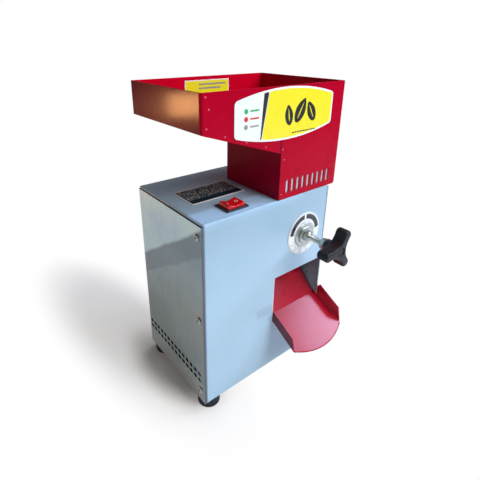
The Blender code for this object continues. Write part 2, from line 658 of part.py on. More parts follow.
def make_side_wrap():
    """The brushed sheet that makes the left side, the back and the right side."""
    top = BODY_HEIGHT - TOP_REVEAL

    def is_fold(a, b, low, high, back):
        sides = all(min(abs(p.x - low), abs(p.x - high)) < WELD for p in (a, b))
        return sides and all(abs(p.y - back) < WELD for p in (a, b))

    columns = [VENT_FRONT_MARGIN + (number + 0.5) * VENT_PITCH for number in range(VENT_COUNT - 1)]
    rows = (VENT_LOWER_Z - VENT_HEIGHT, (VENT_LOWER_Z + VENT_UPPER_Z) / 2, VENT_UPPER_Z + VENT_HEIGHT)
    outer = block((0.0, FRONT_REVEAL, 0.0), (BODY_WIDTH, BODY_DEPTH, top))
    bevel(outer, lambda a, b: is_fold(a, b, 0.0, BODY_WIDTH, BODY_DEPTH), BEND)
    divided(divided(outer, (0.0, 1.0, 0.0), columns), (0.0, 0.0, 1.0), rows)
    wrap = piece("side_wrap", outer, "brushed_steel", smooth=True)
    back = BODY_DEPTH - SHEET
    right = BODY_WIDTH - SHEET
    inner = block((SHEET, -OVERRUN, -OVERRUN), (right, back, BODY_HEIGHT + OVERRUN))
    bevel(inner, lambda a, b: is_fold(a, b, SHEET, right, back), BEND - SHEET)
    divided(divided(inner, (0.0, 1.0, 0.0), columns), (0.0, 0.0, 1.0), rows)
    cut(wrap, "hollow", inner)
    vents = []
    for z in (VENT_LOWER_Z, VENT_UPPER_Z):
        for column in range(VENT_COUNT):
            centre = (VENT_FRONT_MARGIN + column * VENT_PITCH, z)
            outline = rounded_slot(centre, VENT_LENGTH, VENT_HEIGHT)
            vents.append(prism(outline, "X", -OVERRUN, BODY_WIDTH + OVERRUN))
    cut(wrap, "vents", joined(vents))
    notch_front_z = OPENING_BOTTOM - CHUTE_FALL_SHARE * OVERRUN
    notch_back_z = OPENING_BOTTOM + CHUTE_FALL_SHARE * NOTCH_DEPTH
    notch_outline = (
        (-OVERRUN, notch_front_z),
        (NOTCH_DEPTH, notch_back_z),
        (NOTCH_DEPTH, notch_back_z + NOTCH_HEIGHT),
        (-OVERRUN, notch_front_z + NOTCH_HEIGHT),
    )
    notch = prism(notch_outline, "X", right - OVERRUN, BODY_WIDTH + OVERRUN)
    half_width = INLET_BODY_WIDTH / 2 + GAP
    half_height = INLET_BODY_HEIGHT / 2 + GAP
    inlet_hole = block(
        (INLET_X - half_width, BODY_DEPTH - OVERRUN, INLET_Z - half_height),
        (INLET_X + half_width, BODY_DEPTH + OVERRUN, INLET_Z + half_height),
    )
    cut(wrap, "holes", joined([notch, inlet_hole, *panel_screw_holes()]))


def foot_places():
    """Name and centre of each foot."""
    near, far_x, far_y = FOOT_INSET, BODY_WIDTH - FOOT_INSET, BODY_DEPTH - FOOT_INSET
    return (
        ("foot_front_left", near, near),
        ("foot_front_right", far_x, near),
        ("foot_rear_left", near, far_y),
        ("foot_rear_right", far_x, far_y),
    )


def make_base_plate():
    """The bottom sheet, with a lip turned up at the front and the back."""
    front = SIDE_INSET
    back = BODY_DEPTH - SIDE_INSET
    outline = [
        (front, 0.0),
        (back, 0.0),
        (back, BASE_LIP),
        (back - SHEET, BASE_LIP),
        (back - SHEET, SHEET),
        (front + SHEET, SHEET),
        (front + SHEET, BASE_LIP),
        (front, BASE_LIP),
    ]
    side = SIDE_INSET + SHEET + GAP
    base = piece("base_plate", prism(outline, "X", side, BODY_WIDTH - side), "brushed_steel")
    radius = FOOT_STEM_RADIUS + GAP
    holes = [
        cylinder(radius, "Z", (x, y, 0.0), -OVERRUN, SHEET + OVERRUN, SMALL_STEPS)
        for _, x, y in foot_places()
    ]
    cut(base, "foot_holes", joined(holes))


def make_feet():
    """Rubber feet whose stems push into the base plate."""
    profile = [
        (0.0, -FOOT_HEIGHT),
        (FOOT_BASE_RADIUS - FOOT_EDGE, -FOOT_HEIGHT),
        (FOOT_BASE_RADIUS, -FOOT_HEIGHT + FOOT_EDGE),
        (FOOT_RADIUS, -GAP - FOOT_EDGE),
        (FOOT_RADIUS - FOOT_EDGE, -GAP),
        (FOOT_STEM_RADIUS, -GAP),
        (FOOT_STEM_RADIUS, FOOT_STEM_HEIGHT),
        (0.0, FOOT_STEM_HEIGHT),
    ]
    for name, x, y in foot_places():
        piece(name, turned(profile, "Z", (x, y, 0.0)), "rubber", smooth=True)


def screw_profile(seat, outward):
    """Pan head and shank of a screw, from the shank's end to the head's crown."""
    crown = SCREW_HEAD_HEIGHT / 2
    points = [
        (0.0, -SCREW_LENGTH),
        (SCREW_RADIUS, -SCREW_LENGTH),
        (SCREW_RADIUS, 0.0),
        (SCREW_HEAD_RADIUS, 0.0),
        (SCREW_HEAD_RADIUS, crown),
        (SCREW_HEAD_RADIUS - crown / 2, SCREW_HEAD_HEIGHT - crown / 2),
        (SCREW_HEAD_RADIUS / 2, SCREW_HEAD_HEIGHT),
        (0.0, SCREW_HEAD_HEIGHT),
    ]
    return [(radius, seat + outward * along) for radius, along in points]


def make_screws():
    """Screws of the side wrap and of the hopper's neck."""
    for name, side, z in panel_screw_places():
        seat, outward = (-GAP, -1.0) if side == "left" else (BODY_WIDTH + GAP, 1.0)
        profile = screw_profile(seat, outward)
        bm = turned(profile, "X", (0.0, PANEL_SCREW_Y, z), SMALL_STEPS)
        piece(f"panel_screw_{name}", bm, "zinc", smooth=True)
    seat = NECK_BASE + HOPPER_SHEET + GAP
    for name, y in (("front", HOPPER_SCREW_FRONT_Y), ("rear", HOPPER_SCREW_REAR_Y)):
        bm = turned(screw_profile(seat, 1.0), "Z", (HOPPER_SCREW_X, y, 0.0), SMALL_STEPS)
        piece(f"hopper_screw_{name}", bm, "zinc", smooth=True)


def make_hopper_front_plate():
    """Front sheet of the hopper and its neck, folded back at the left, with a row of slots."""
    bend = (HOPPER_LEFT + HOPPER_BEND, HOPPER_BEND)
    outline = [(HOPPER_RIGHT, 0.0)]
    outline += arc(bend, HOPPER_BEND, -TURN / 4, -TURN / 2, CORNER_STEPS)
    outline += arc(bend, HOPPER_BEND - HOPPER_SHEET, -TURN / 2, -TURN / 4, CORNER_STEPS)
    outline += [(HOPPER_RIGHT, HOPPER_SHEET)]
    plate = piece(
        "hopper_front_plate", prism(outline, "Z", NECK_BASE, HOPPER_TOP), "red_paint", smooth=True
    )
    slope = (TRAY_BOTTOM - NECK_TOP) / (NECK_LEFT - HOPPER_LEFT)
    corner = (NECK_LEFT - NECK_CORNER, NECK_TOP + slope * NECK_CORNER - NECK_CORNER)
    under_tray = [
        (HOPPER_LEFT - OVERRUN, NECK_BASE - OVERRUN),
        (NECK_LEFT, NECK_BASE - OVERRUN),
        *arc(corner, NECK_CORNER, 0.0, TURN / 4 - math.atan(slope), CORNER_STEPS),
        (HOPPER_LEFT - OVERRUN, TRAY_BOTTOM + slope * OVERRUN),
    ]
    cut(plate, "under_tray", prism(under_tray, "Y", -OVERRUN, HOPPER_BEND + OVERRUN))
    turn = (HOPPER_RIGHT - NECK_CORNER, NECK_BASE + NECK_CORNER)
    corner_waste = [
        (turn[0], NECK_BASE - OVERRUN),
        (HOPPER_RIGHT + OVERRUN, NECK_BASE - OVERRUN),
        (HOPPER_RIGHT + OVERRUN, turn[1]),
        *arc(turn, NECK_CORNER, 0.0, -TURN / 4, CORNER_STEPS),
    ]
    parts = [prism(corner_waste, "Y", -OVERRUN, OVERRUN)]
    for number in range(NECK_SLOT_COUNT):
        x = NECK_SLOT_CENTRE_X + (number - (NECK_SLOT_COUNT - 1) / 2) * NECK_SLOT_PITCH
        upright = rounded_slot((NECK_SLOT_CENTRE_Z, x), NECK_SLOT_HEIGHT, NECK_SLOT_WIDTH)
        parts.append(prism([(u, v) for v, u in upright], "Y", -OVERRUN, OVERRUN))
    cut(plate, "slots_and_corner", joined(parts))


def make_hopper_tray_wall():
    """Left and back walls of the tray, one sheet with a fold at the back left corner."""
    bend = (HOPPER_LEFT + HOPPER_BEND, HOPPER_BACK - HOPPER_BEND)
    front = HOPPER_BEND + GAP
    right = HOPPER_RIGHT - HOPPER_SHEET - GAP
    outline = [(HOPPER_LEFT, front)]
    outline += arc(bend, HOPPER_BEND, TURN / 2, TURN / 4, CORNER_STEPS)
    outline += [(right, HOPPER_BACK), (right, HOPPER_BACK - HOPPER_SHEET)]
    outline += arc(bend, HOPPER_BEND - HOPPER_SHEET, TURN / 4, TURN / 2, CORNER_STEPS)
    outline += [(HOPPER_LEFT + HOPPER_SHEET, front)]
    piece("hopper_tray_wall", prism(outline, "Z", TRAY_BOTTOM, HOPPER_TOP), "red_paint", smooth=True)


def make_hopper_right_plate():
    """Right wall of the tray and the neck, one flat sheet."""
    outline = [
        (HOPPER_SHEET + GAP, NECK_BASE),
        (NECK_BACK, NECK_BASE),
        (NECK_BACK, NECK_TOP),
        (HOPPER_BACK, TRAY_BOTTOM),
        (HOPPER_BACK, HOPPER_TOP),
        (HOPPER_SHEET + GAP, HOPPER_TOP),
    ]
    bm = prism(outline, "X", HOPPER_RIGHT - HOPPER_SHEET, HOPPER_RIGHT)
    piece("hopper_right_plate", bm, "red_paint")


def make_hopper_floor():
    """Two slopes that lead from the tray walls down to the neck."""
    left = HOPPER_LEFT + HOPPER_SHEET + CORNER_CLEARANCE
    right = HOPPER_RIGHT - HOPPER_SHEET - GAP
    front = HOPPER_SHEET + CORNER_CLEARANCE
    back = HOPPER_BACK - HOPPER_SHEET - CORNER_CLEARANCE
    neck_left = NECK_LEFT + HOPPER_SHEET
    neck_back = NECK_BACK - HOPPER_SHEET
    bm = bmesh.new()
    places = (
        (left, front, TRAY_BOTTOM),
        (neck_left, front, NECK_TOP),
        (neck_left, neck_back, NECK_TOP),
        (left, back, TRAY_BOTTOM),
        (right, neck_back, NECK_TOP),
        (right, back, TRAY_BOTTOM),
    )
    verts = [bm.verts.new((x, y, z + HOPPER_SHEET + GAP)) for x, y, z in places]
    faces = [bm.faces.new([verts[i] for i in loop]) for loop in ((0, 1, 2, 3), (3, 2, 4, 5))]
    grown = bmesh.ops.extrude_face_region(bm, geom=faces)["geom"]
    lower = [item for item in grown if isinstance(item, bmesh.types.BMVert)]
    bmesh.ops.translate(bm, verts=lower, vec=(0.0, 0.0, -HOPPER_SHEET))
    piece("hopper_floor", bm, "red_paint")


def make_hopper_neck():
    """Left and back walls of the neck, with a flange that is screwed to the body's top."""
    bend = (NECK_LEFT + HOPPER_BEND, NECK_BACK - HOPPER_BEND)
    front = HOPPER_SHEET + GAP
    right = HOPPER_RIGHT - HOPPER_SHEET - GAP
    outline = [(NECK_LEFT, front)]
    outline += arc(bend, HOPPER_BEND, TURN / 2, TURN / 4, CORNER_STEPS)
    outline += [(right, NECK_BACK), (right, NECK_BACK - HOPPER_SHEET)]
    outline += arc(bend, HOPPER_BEND - HOPPER_SHEET, TURN / 4, TURN / 2, CORNER_STEPS)
    outline += [(NECK_LEFT + HOPPER_SHEET, front)]
    neck = piece("hopper_neck", prism(outline, "Z", NECK_BASE, NECK_TOP), "red_paint", smooth=True)
    flange_end = NECK_LEFT + NECK_FLANGE
    flange = block(
        (NECK_LEFT + HOPPER_SHEET / 2, front + BACKING_SHEET + 2 * GAP, NECK_BASE),
        (flange_end, NECK_BACK - HOPPER_BEND, NECK_BASE + HOPPER_SHEET),
    )
    fuse(neck, "flange", flange)
    holes = [
        cylinder(SCREW_RADIUS + SCREW_CLEARANCE, "Z", (HOPPER_SCREW_X, y, 0.0), BODY_HEIGHT, FUNNEL_TOP, SMALL_STEPS)
        for y in (HOPPER_SCREW_FRONT_Y, HOPPER_SCREW_REAR_Y)
    ]
    cut(neck, "screw_holes", joined(holes))


def make_neck_backing():
    """Light sheet close behind the neck's row of slots."""
    half = NECK_SLOT_PITCH * (NECK_SLOT_COUNT - 1) / 2 + NECK_SLOT_WIDTH / 2 + BACKING_MARGIN / 2
    front = HOPPER_SHEET + GAP
    bm = block(
        (NECK_SLOT_CENTRE_X - half, front, NECK_SLOT_CENTRE_Z - NECK_SLOT_HEIGHT / 2 - BACKING_MARGIN / 2),
        (
            NECK_SLOT_CENTRE_X + half,
            front + BACKING_SHEET,
            NECK_SLOT_CENTRE_Z + NECK_SLOT_HEIGHT / 2 + BACKING_MARGIN,
        ),
    )
    piece("neck_backing", bm, "light_sheet")


def rectangle(left, right, front, back, z):
    """Corners of a level rectangle, in order."""
    return [(left, front, z), (right, front, z), (right, back, z), (left, back, z)]


def make_throat_funnel():
    """Funnel from the neck down through the body's top into the crushing chamber."""
    wall = FUNNEL_SHEET
    top = (
        NECK_LEFT + HOPPER_SHEET + CORNER_CLEARANCE + wall,
        HOPPER_RIGHT - HOPPER_SHEET - GAP - wall,
        FUNNEL_FRONT_INSET + wall,
        NECK_BACK - HOPPER_SHEET - CORNER_CLEARANCE - wall,
    )
    throat = (THROAT_LEFT, THROAT_RIGHT, THROAT_FRONT, THROAT_BACK)
    waist_z = NECK_BASE + THROAT_RISE
    foot_z = CHAMBER_TOP - THROAT_DROP

    def grown(sides):
        left, right, front, back = sides
        return left - wall, right + wall, front - wall, back + wall

    loops = [
        rectangle(*top, FUNNEL_TOP),
        rectangle(*throat, waist_z),
        rectangle(*throat, foot_z),
        rectangle(*grown(throat), foot_z),
        rectangle(*grown(throat), waist_z),
        rectangle(*grown(top), FUNNEL_TOP),
    ]
    bm = bmesh.new()
    rings = [[bm.verts.new(corner) for corner in loop] for loop in loops]
    for ring, following in zip(rings, rings[1:] + rings[:1]):
        for i, vert in enumerate(ring):
            after = (i + 1) % len(ring)
            bm.faces.new((vert, ring[after], following[after], following[i]))
    piece("throat_funnel", bm, "light_sheet")


def make_labels():
    """Thin plates: on the hopper's front, inside the tray, on the top and round the adjuster."""
    half = HOPPER_LABEL_WIDTH / 2
    side = HOPPER_LABEL_SIDE / 2
    rise = HOPPER_LABEL_HEIGHT / 2 - side
    radius = (half * half + rise * rise) / (2 * rise)
    reach = math.asin(half / radius)
    centre_up = (HOPPER_LABEL_X, HOPPER_LABEL_Z + side + rise - radius)
    centre_down = (HOPPER_LABEL_X, HOPPER_LABEL_Z - side - rise + radius)
    outline = arc(centre_up, radius, TURN / 4 - reach, TURN / 4 + reach, 2 * CORNER_STEPS)
    outline += arc(centre_down, radius, -TURN / 4 - reach, -TURN / 4 + reach, 2 * CORNER_STEPS)
    piece("hopper_label", prism(outline, "Y", -GAP - LABEL_SHEET, -GAP), "label_yellow")

    wall = HOPPER_BACK - HOPPER_SHEET - GAP
    low = (TRAY_LABEL_LEFT, wall - LABEL_SHEET, TRAY_LABEL_TOP - TRAY_LABEL_HEIGHT)
    high = (TRAY_LABEL_LEFT + TRAY_LABEL_WIDTH, wall, TRAY_LABEL_TOP)
    piece("tray_label", block(low, high), "label_yellow")

    base = BODY_HEIGHT + GAP
    low = (TOP_PLATE_LEFT, TOP_PLATE_FRONT, base)
    high = (TOP_PLATE_RIGHT, TOP_PLATE_FRONT + TOP_PLATE_DEPTH, base + TOP_PLATE_SHEET)
    piece("top_plate", block(low, high), "label_black")

    bore = ROD_RADIUS + THROAT_CLEARANCE + DIAL_RISE
    profile = [
        (bore, -GAP),
        (DIAL_RADIUS, -GAP),
        (DIAL_RADIUS, -GAP - DIAL_SHEET),
        (bore, -GAP - DIAL_SHEET),
    ]
    dial = turned(profile, "Y", (ADJUSTER_X, 0.0, DIAL_Z))
    piece("adjuster_dial", dial, "label_white", smooth=True)


def make_switch():
    """Rocker switch: a housing with a bezel, and a rocker on a cross axis."""
    base = BODY_HEIGHT + GAP
    top = base + BEZEL_HEIGHT
    bezel = block(
        (SWITCH_X - BEZEL_WIDTH / 2, SWITCH_Y - BEZEL_DEPTH / 2, base),
        (SWITCH_X + BEZEL_WIDTH / 2, SWITCH_Y + BEZEL_DEPTH / 2, top),
    )
    bevel(bezel, lambda a, b: min(a.z, b.z) > top - WELD, BEZEL_EDGE, 2)
    housing = piece("switch_housing", bezel, "black_plastic")
    body = block(
        (SWITCH_X - SWITCH_BODY_WIDTH / 2, SWITCH_Y - SWITCH_BODY_DEPTH / 2, base - SWITCH_BODY_DROP),
        (SWITCH_X + SWITCH_BODY_WIDTH / 2, SWITCH_Y + SWITCH_BODY_DEPTH / 2, base + BEZEL_HEIGHT / 2),
    )
    fuse(housing, "body", body)
    reach = ROCKER_RADIUS + GAP
    half_depth = ROCKER_DEPTH / 2 + GAP
    well = block(
        (SWITCH_X - reach, SWITCH_Y - half_depth, PIVOT_Z - SWITCH_WELL_DROP),
        (SWITCH_X + reach, SWITCH_Y + half_depth, top + OVERRUN),
    )
    cut(housing, "well", well)
    pivot = (SWITCH_X, PIVOT_Z)
    outline = arc(pivot, ROCKER_RADIUS, ROCKER_LOW_ANGLE, ROCKER_HIGH_ANGLE, 2 * CORNER_STEPS)
    outline.append((SWITCH_X, PIVOT_Z + ROCKER_VALLEY))
    far = TURN / 2
    outline += arc(pivot, ROCKER_RADIUS, far - ROCKER_HIGH_ANGLE, far - ROCKER_LOW_ANGLE, 2 * CORNER_STEPS)
    rocker = prism(outline, "Y", SWITCH_Y - ROCKER_DEPTH / 2, SWITCH_Y + ROCKER_DEPTH / 2)
    piece("switch_rocker", rocker, "red_plastic", origin=(SWITCH_X, SWITCH_Y, PIVOT_Z), smooth=True)


def washer(name, radius, low, high):
    """A flat washer on the adjusting rod."""
    bore = ROD_RADIUS + GAP
    profile = [(bore, low), (radius, low), (radius, high), (bore, high)]
    piece(name, turned(profile, "Y", (ADJUSTER_X, 0.0, ADJUSTER_Z)), "zinc", smooth=True)


def hex_nut(name, low, origin=(0.0, 0.0, 0.0)):
    """A six-sided nut on the adjusting rod, with its corners turned off."""
    corner = NUT_FLATS / math.sqrt(3.0)
    outline = [
        (ADJUSTER_X + corner * math.cos(TURN * i / 6), ADJUSTER_Z + corner * math.sin(TURN * i / 6))
        for i in range(6)
    ]
    bm = prism(outline, "Y", low, low + NUT_HEIGHT)
    nut = piece(name, bm, "zinc", origin=origin)
    centre = (ADJUSTER_X, 0.0, ADJUSTER_Z)
    middle = low + NUT_HEIGHT / 2
    flat = NUT_FLATS / 2 - NUT_CHAMFER / 2
    wide = corner + NUT_CHAMFER
    for end, sign in (("back", 1.0), ("front", -1.0)):
        face = middle + sign * NUT_HEIGHT / 2
        ring = [
            (flat, face + sign * NUT_CHAMFER / 2),
            (wide, face - sign * NUT_CHAMFER),
            (wide, face + sign * OVERRUN),
            (flat, face + sign * OVERRUN),
        ]
        cut(nut, f"chamfer_{end}", turned(ring, "Y", centre))
    bore = cylinder(ROD_RADIUS + GAP, "Y", centre, low - OVERRUN, low + NUT_HEIGHT + OVERRUN)
    cut(nut, "bore", bore)


def knob_outline():
    """Three round-tipped arms joined by hollow curves."""
    arm = KNOB_REACH - KNOB_TIP_RADIUS
    drop = KNOB_TIP_RADIUS - KNOB_WAIST_RADIUS
    hollow_centre = (arm * arm - drop * drop) / (arm + 2 * drop)
    hollow_radius = hollow_centre - KNOB_WAIST_RADIUS
    step = TURN / KNOB_ARMS
    half = step / 2
    tip = Vector((arm, 0.0))
    hollow = Vector((hollow_centre * math.cos(half), hollow_centre * math.sin(half)))
    towards = hollow - tip
    tangent = math.atan2(towards.y, towards.x)
    away = math.atan2(-towards.y, -towards.x) % TURN
    sweep = TURN / 2 + half
    points = []
    for number in range(KNOB_ARMS):
        turn = KNOB_FIRST_ARM + number * step
        shape = arc(tip, KNOB_TIP_RADIUS, -tangent, tangent, KNOB_ARC_STEPS)
        shape += arc(hollow, hollow_radius, away, 2 * sweep - away, KNOB_ARC_STEPS)[1:-1]
        cosine, sine = math.cos(turn), math.sin(turn)
        for u, v in shape:
            points.append((ADJUSTER_X + u * cosine - v * sine, ADJUSTER_Z + u * sine + v * cosine))
    return points


def make_adjuster():
    """Washers and nut on the panel, and the rod with its lock nut and three-arm knob."""
    washer("panel_washer", PANEL_WASHER_RADIUS, -PANEL_WASHER_FACE, PANEL_WASHER_THICKNESS - PANEL_WASHER_FACE)
    thrust_back = THRUST_WASHER_THICKNESS - THRUST_WASHER_FACE
    washer("thrust_washer", THRUST_WASHER_RADIUS, -THRUST_WASHER_FACE, thrust_back)
    hex_nut("panel_nut", -THRUST_WASHER_FACE - GAP - NUT_HEIGHT)

    axis = (ADJUSTER_X, 0.0, ADJUSTER_Z)
    front = -(KNOB_STANDOFF + KNOB_BORE_DEPTH - GAP)
    collar_front = CARRIER_BACK - COLLAR_POCKET_DEPTH + GAP
    collar_back = CARRIER_BACK - GAP
    profile = [
        (0.0, front),
        (ROD_RADIUS, front),
        (ROD_RADIUS, collar_front),
        (ROD_COLLAR_RADIUS, collar_front),
        (ROD_COLLAR_RADIUS, collar_back),
        (0.0, collar_back),
    ]
    piece("adjuster_rod", turned(profile, "Y", axis), "zinc", origin=axis, smooth=True)
    hex_nut("knob_lock_nut", -KNOB_STANDOFF + GAP, origin=axis)

    back = -(KNOB_STANDOFF + KNOB_HUB_LENGTH)
    star = prism(knob_outline(), "Y", back - KNOB_THICKNESS, back)
    rims = (back - KNOB_THICKNESS, back)
    bevel(star, lambda a, b: abs(a.y - b.y) < WELD and min(abs(a.y - rim) for rim in rims) < WELD, KNOB_EDGE, 2)
    knob = piece("adjuster_knob", star, "black_plastic", origin=axis, smooth=True)
    hub = cylinder(KNOB_HUB_RADIUS, "Y", axis, back - KNOB_THICKNESS / 2, -KNOB_STANDOFF)
    fuse(knob, "hub", hub)
    bore = cylinder(
        ROD_RADIUS + GAP, "Y", axis, -KNOB_STANDOFF - KNOB_BORE_DEPTH, -KNOB_STANDOFF + OVERRUN, SMALL_STEPS
    )
    cut(knob, "bore", bore)


def make_jaw():
    """Carrier that the rod moves, its toothed plate and the two pins that guide it."""
    left, right = CHAMBER_LEFT + JAW_SIDE_GAP, CHAMBER_RIGHT - JAW_SIDE_GAP
    rest = (ADJUSTER_X, GUIDE_PIN_Y, ADJUSTER_Z)
    body = block((left, JAW_FRONT, JAW_BOTTOM), (right, CARRIER_BACK, JAW_TOP))
    carrier = piece("jaw_carrier", body, "cast_steel", origin=rest)
    axis = (ADJUSTER_X, 0.0, ADJUSTER_Z)
    pocket_floor = CARRIER_BACK - COLLAR_POCKET_DEPTH
    bore = [
        (0.0, JAW_FRONT - OVERRUN),
        (ROD_RADIUS + GAP, JAW_FRONT - OVERRUN),
        (ROD_RADIUS + GAP, pocket_floor),
        (ROD_COLLAR_RADIUS + GAP, pocket_floor),
        (ROD_COLLAR_RADIUS + GAP, CARRIER_BACK + OVERRUN),
        (0.0, CARRIER_BACK + OVERRUN),
    ]
    cut(carrier, "rod_bore", turned(bore, "Y", axis))
    heights = (("low", GUIDE_PIN_LOW_Z), ("high", GUIDE_PIN_HIGH_Z))
    pin_bores = [
        cylinder(GUIDE_PIN_RADIUS + GAP, "X", (0.0, GUIDE_PIN_Y, z), left - OVERRUN, right + OVERRUN, SMALL_STEPS)
        for _, z in heights
    ]
    cut(carrier, "pin_bores", joined(pin_bores))
    pin_left = CHAMBER_LEFT - CHAMBER_PLATE + GAP
    pin_right = CHAMBER_RIGHT + CHAMBER_PLATE - GAP
    for name, z in heights:
        pin = cylinder(GUIDE_PIN_RADIUS, "X", (0.0, GUIDE_PIN_Y, z), pin_left, pin_right, SMALL_STEPS)
        piece(f"jaw_guide_pin_{name}", pin, "zinc", origin=(ADJUSTER_X, GUIDE_PIN_Y, z), smooth=True)

    front = CARRIER_BACK + GAP
    outline = [(front, JAW_TOP), (front, JAW_BOTTOM)]
    nip = (front + JAW_NIP_THICKNESS, DRUM_Z)
    foot = (front + JAW_NIP_THICKNESS, JAW_BOTTOM)
    head = (front + JAW_TIP_THICKNESS, JAW_TOP)
    for start, end, count in ((foot, nip, JAW_TEETH_BELOW), (nip, head, JAW_TEETH_ABOVE)):
        for number in range(count):
            share = number / count
            y = start[0] + (end[0] - start[0]) * share
            z = start[1] + (end[1] - start[1]) * share
            outline += [(y - JAW_TOOTH_DEPTH, z), (y, z)]
    outline.append(head)
    piece("jaw_plate", prism(outline, "X", left, right), "cast_steel", origin=rest)


def chamber_outline():
    """Side plate of the chamber: it stops above the chute and stands on a leg behind it."""
    leg_front = CHAMBER_BACK - CHAMBER_LEG
    clearance = CHUTE_SHEET
    over_end = chute_top(CHUTE_END_Y) + (leg_front - CHUTE_END_Y) * CHUTE_STEEP_SHARE + clearance
    run = (CHAMBER_BOTTOM - clearance - chute_top(CHUTE_BEND_Y)) / CHUTE_STEEP_SHARE
    return [
        (CHAMBER_FRONT, CHAMBER_TOP),
        (CHAMBER_FRONT, CHAMBER_BOTTOM),
        (CHUTE_BEND_Y + run, CHAMBER_BOTTOM),
        (leg_front, over_end),
        (leg_front, SHEET + GAP),
        (CHAMBER_BACK, SHEET + GAP),
        (CHAMBER_BACK, CHAMBER_TOP),
    ]


def make_chamber():
    """Two side plates, the bar that carries the adjuster's thread, and the back with its deflector."""
    travel = JAW_TRAVEL_OUT + JAW_TRAVEL_IN
    slot_height = 2 * (GUIDE_PIN_RADIUS + GAP)
    slot_centre = GUIDE_PIN_Y + (JAW_TRAVEL_IN - JAW_TRAVEL_OUT) / 2
    sides = (
        ("chamber_left_plate", CHAMBER_LEFT - CHAMBER_PLATE),
        ("chamber_right_plate", CHAMBER_RIGHT),
    )
    for name, low in sides:
        high = low + CHAMBER_PLATE
        plate = piece(name, prism(chamber_outline(), "X", low, high), "cast_steel")
        radius = BEARING_OUTER_RADIUS + GAP + CUP_WALL + GAP
        cuts = [cylinder(radius, "X", (0.0, DRUM_Y, DRUM_Z), low - OVERRUN, high + OVERRUN)]
        for z in (GUIDE_PIN_LOW_Z, GUIDE_PIN_HIGH_Z):
            outline = rounded_slot((slot_centre, z), travel + slot_height + 2 * GAP, slot_height)
            cuts.append(prism(outline, "X", low - OVERRUN, high + OVERRUN))
        cut(plate, "holes", joined(cuts))

    left, right = CHAMBER_LEFT + GAP, CHAMBER_RIGHT - GAP
    bar = block(
        (left, BRIDGE_FRONT, ADJUSTER_Z - BRIDGE_HEIGHT / 2),
        (right, BRIDGE_BACK, ADJUSTER_Z + BRIDGE_HEIGHT / 2),
    )
    bridge = piece("thread_bridge", bar, "zinc")
    axis = (ADJUSTER_X, 0.0, ADJUSTER_Z)
    cut(bridge, "bore", cylinder(ROD_RADIUS + GAP, "Y", axis, -OVERRUN, BRIDGE_BACK + OVERRUN))

    length = math.hypot(DEFLECTOR_REACH, DEFLECTOR_FALL)
    across = (BACK_SHEET * DEFLECTOR_FALL / length, -BACK_SHEET * DEFLECTOR_REACH / length)
    tip = (BACK_PLATE_FRONT - DEFLECTOR_REACH, DEFLECTOR_TOP - DEFLECTOR_FALL)
    bottom = chute_top(CHUTE_END_Y) + CHUTE_SHEET
    inner_knee = DEFLECTOR_TOP - BACK_SHEET * DEFLECTOR_REACH / DEFLECTOR_FALL
    outline = [
        (BACK_PLATE_FRONT + BACK_SHEET, bottom),
        (BACK_PLATE_FRONT + BACK_SHEET, DEFLECTOR_TOP),
        (BACK_PLATE_FRONT, DEFLECTOR_TOP),
        tip,
        (tip[0] + across[0], tip[1] + across[1]),
        (BACK_PLATE_FRONT, inner_knee),
        (BACK_PLATE_FRONT, bottom),
    ]
    piece("chamber_back", prism(outline, "X", left, right), "light_sheet")


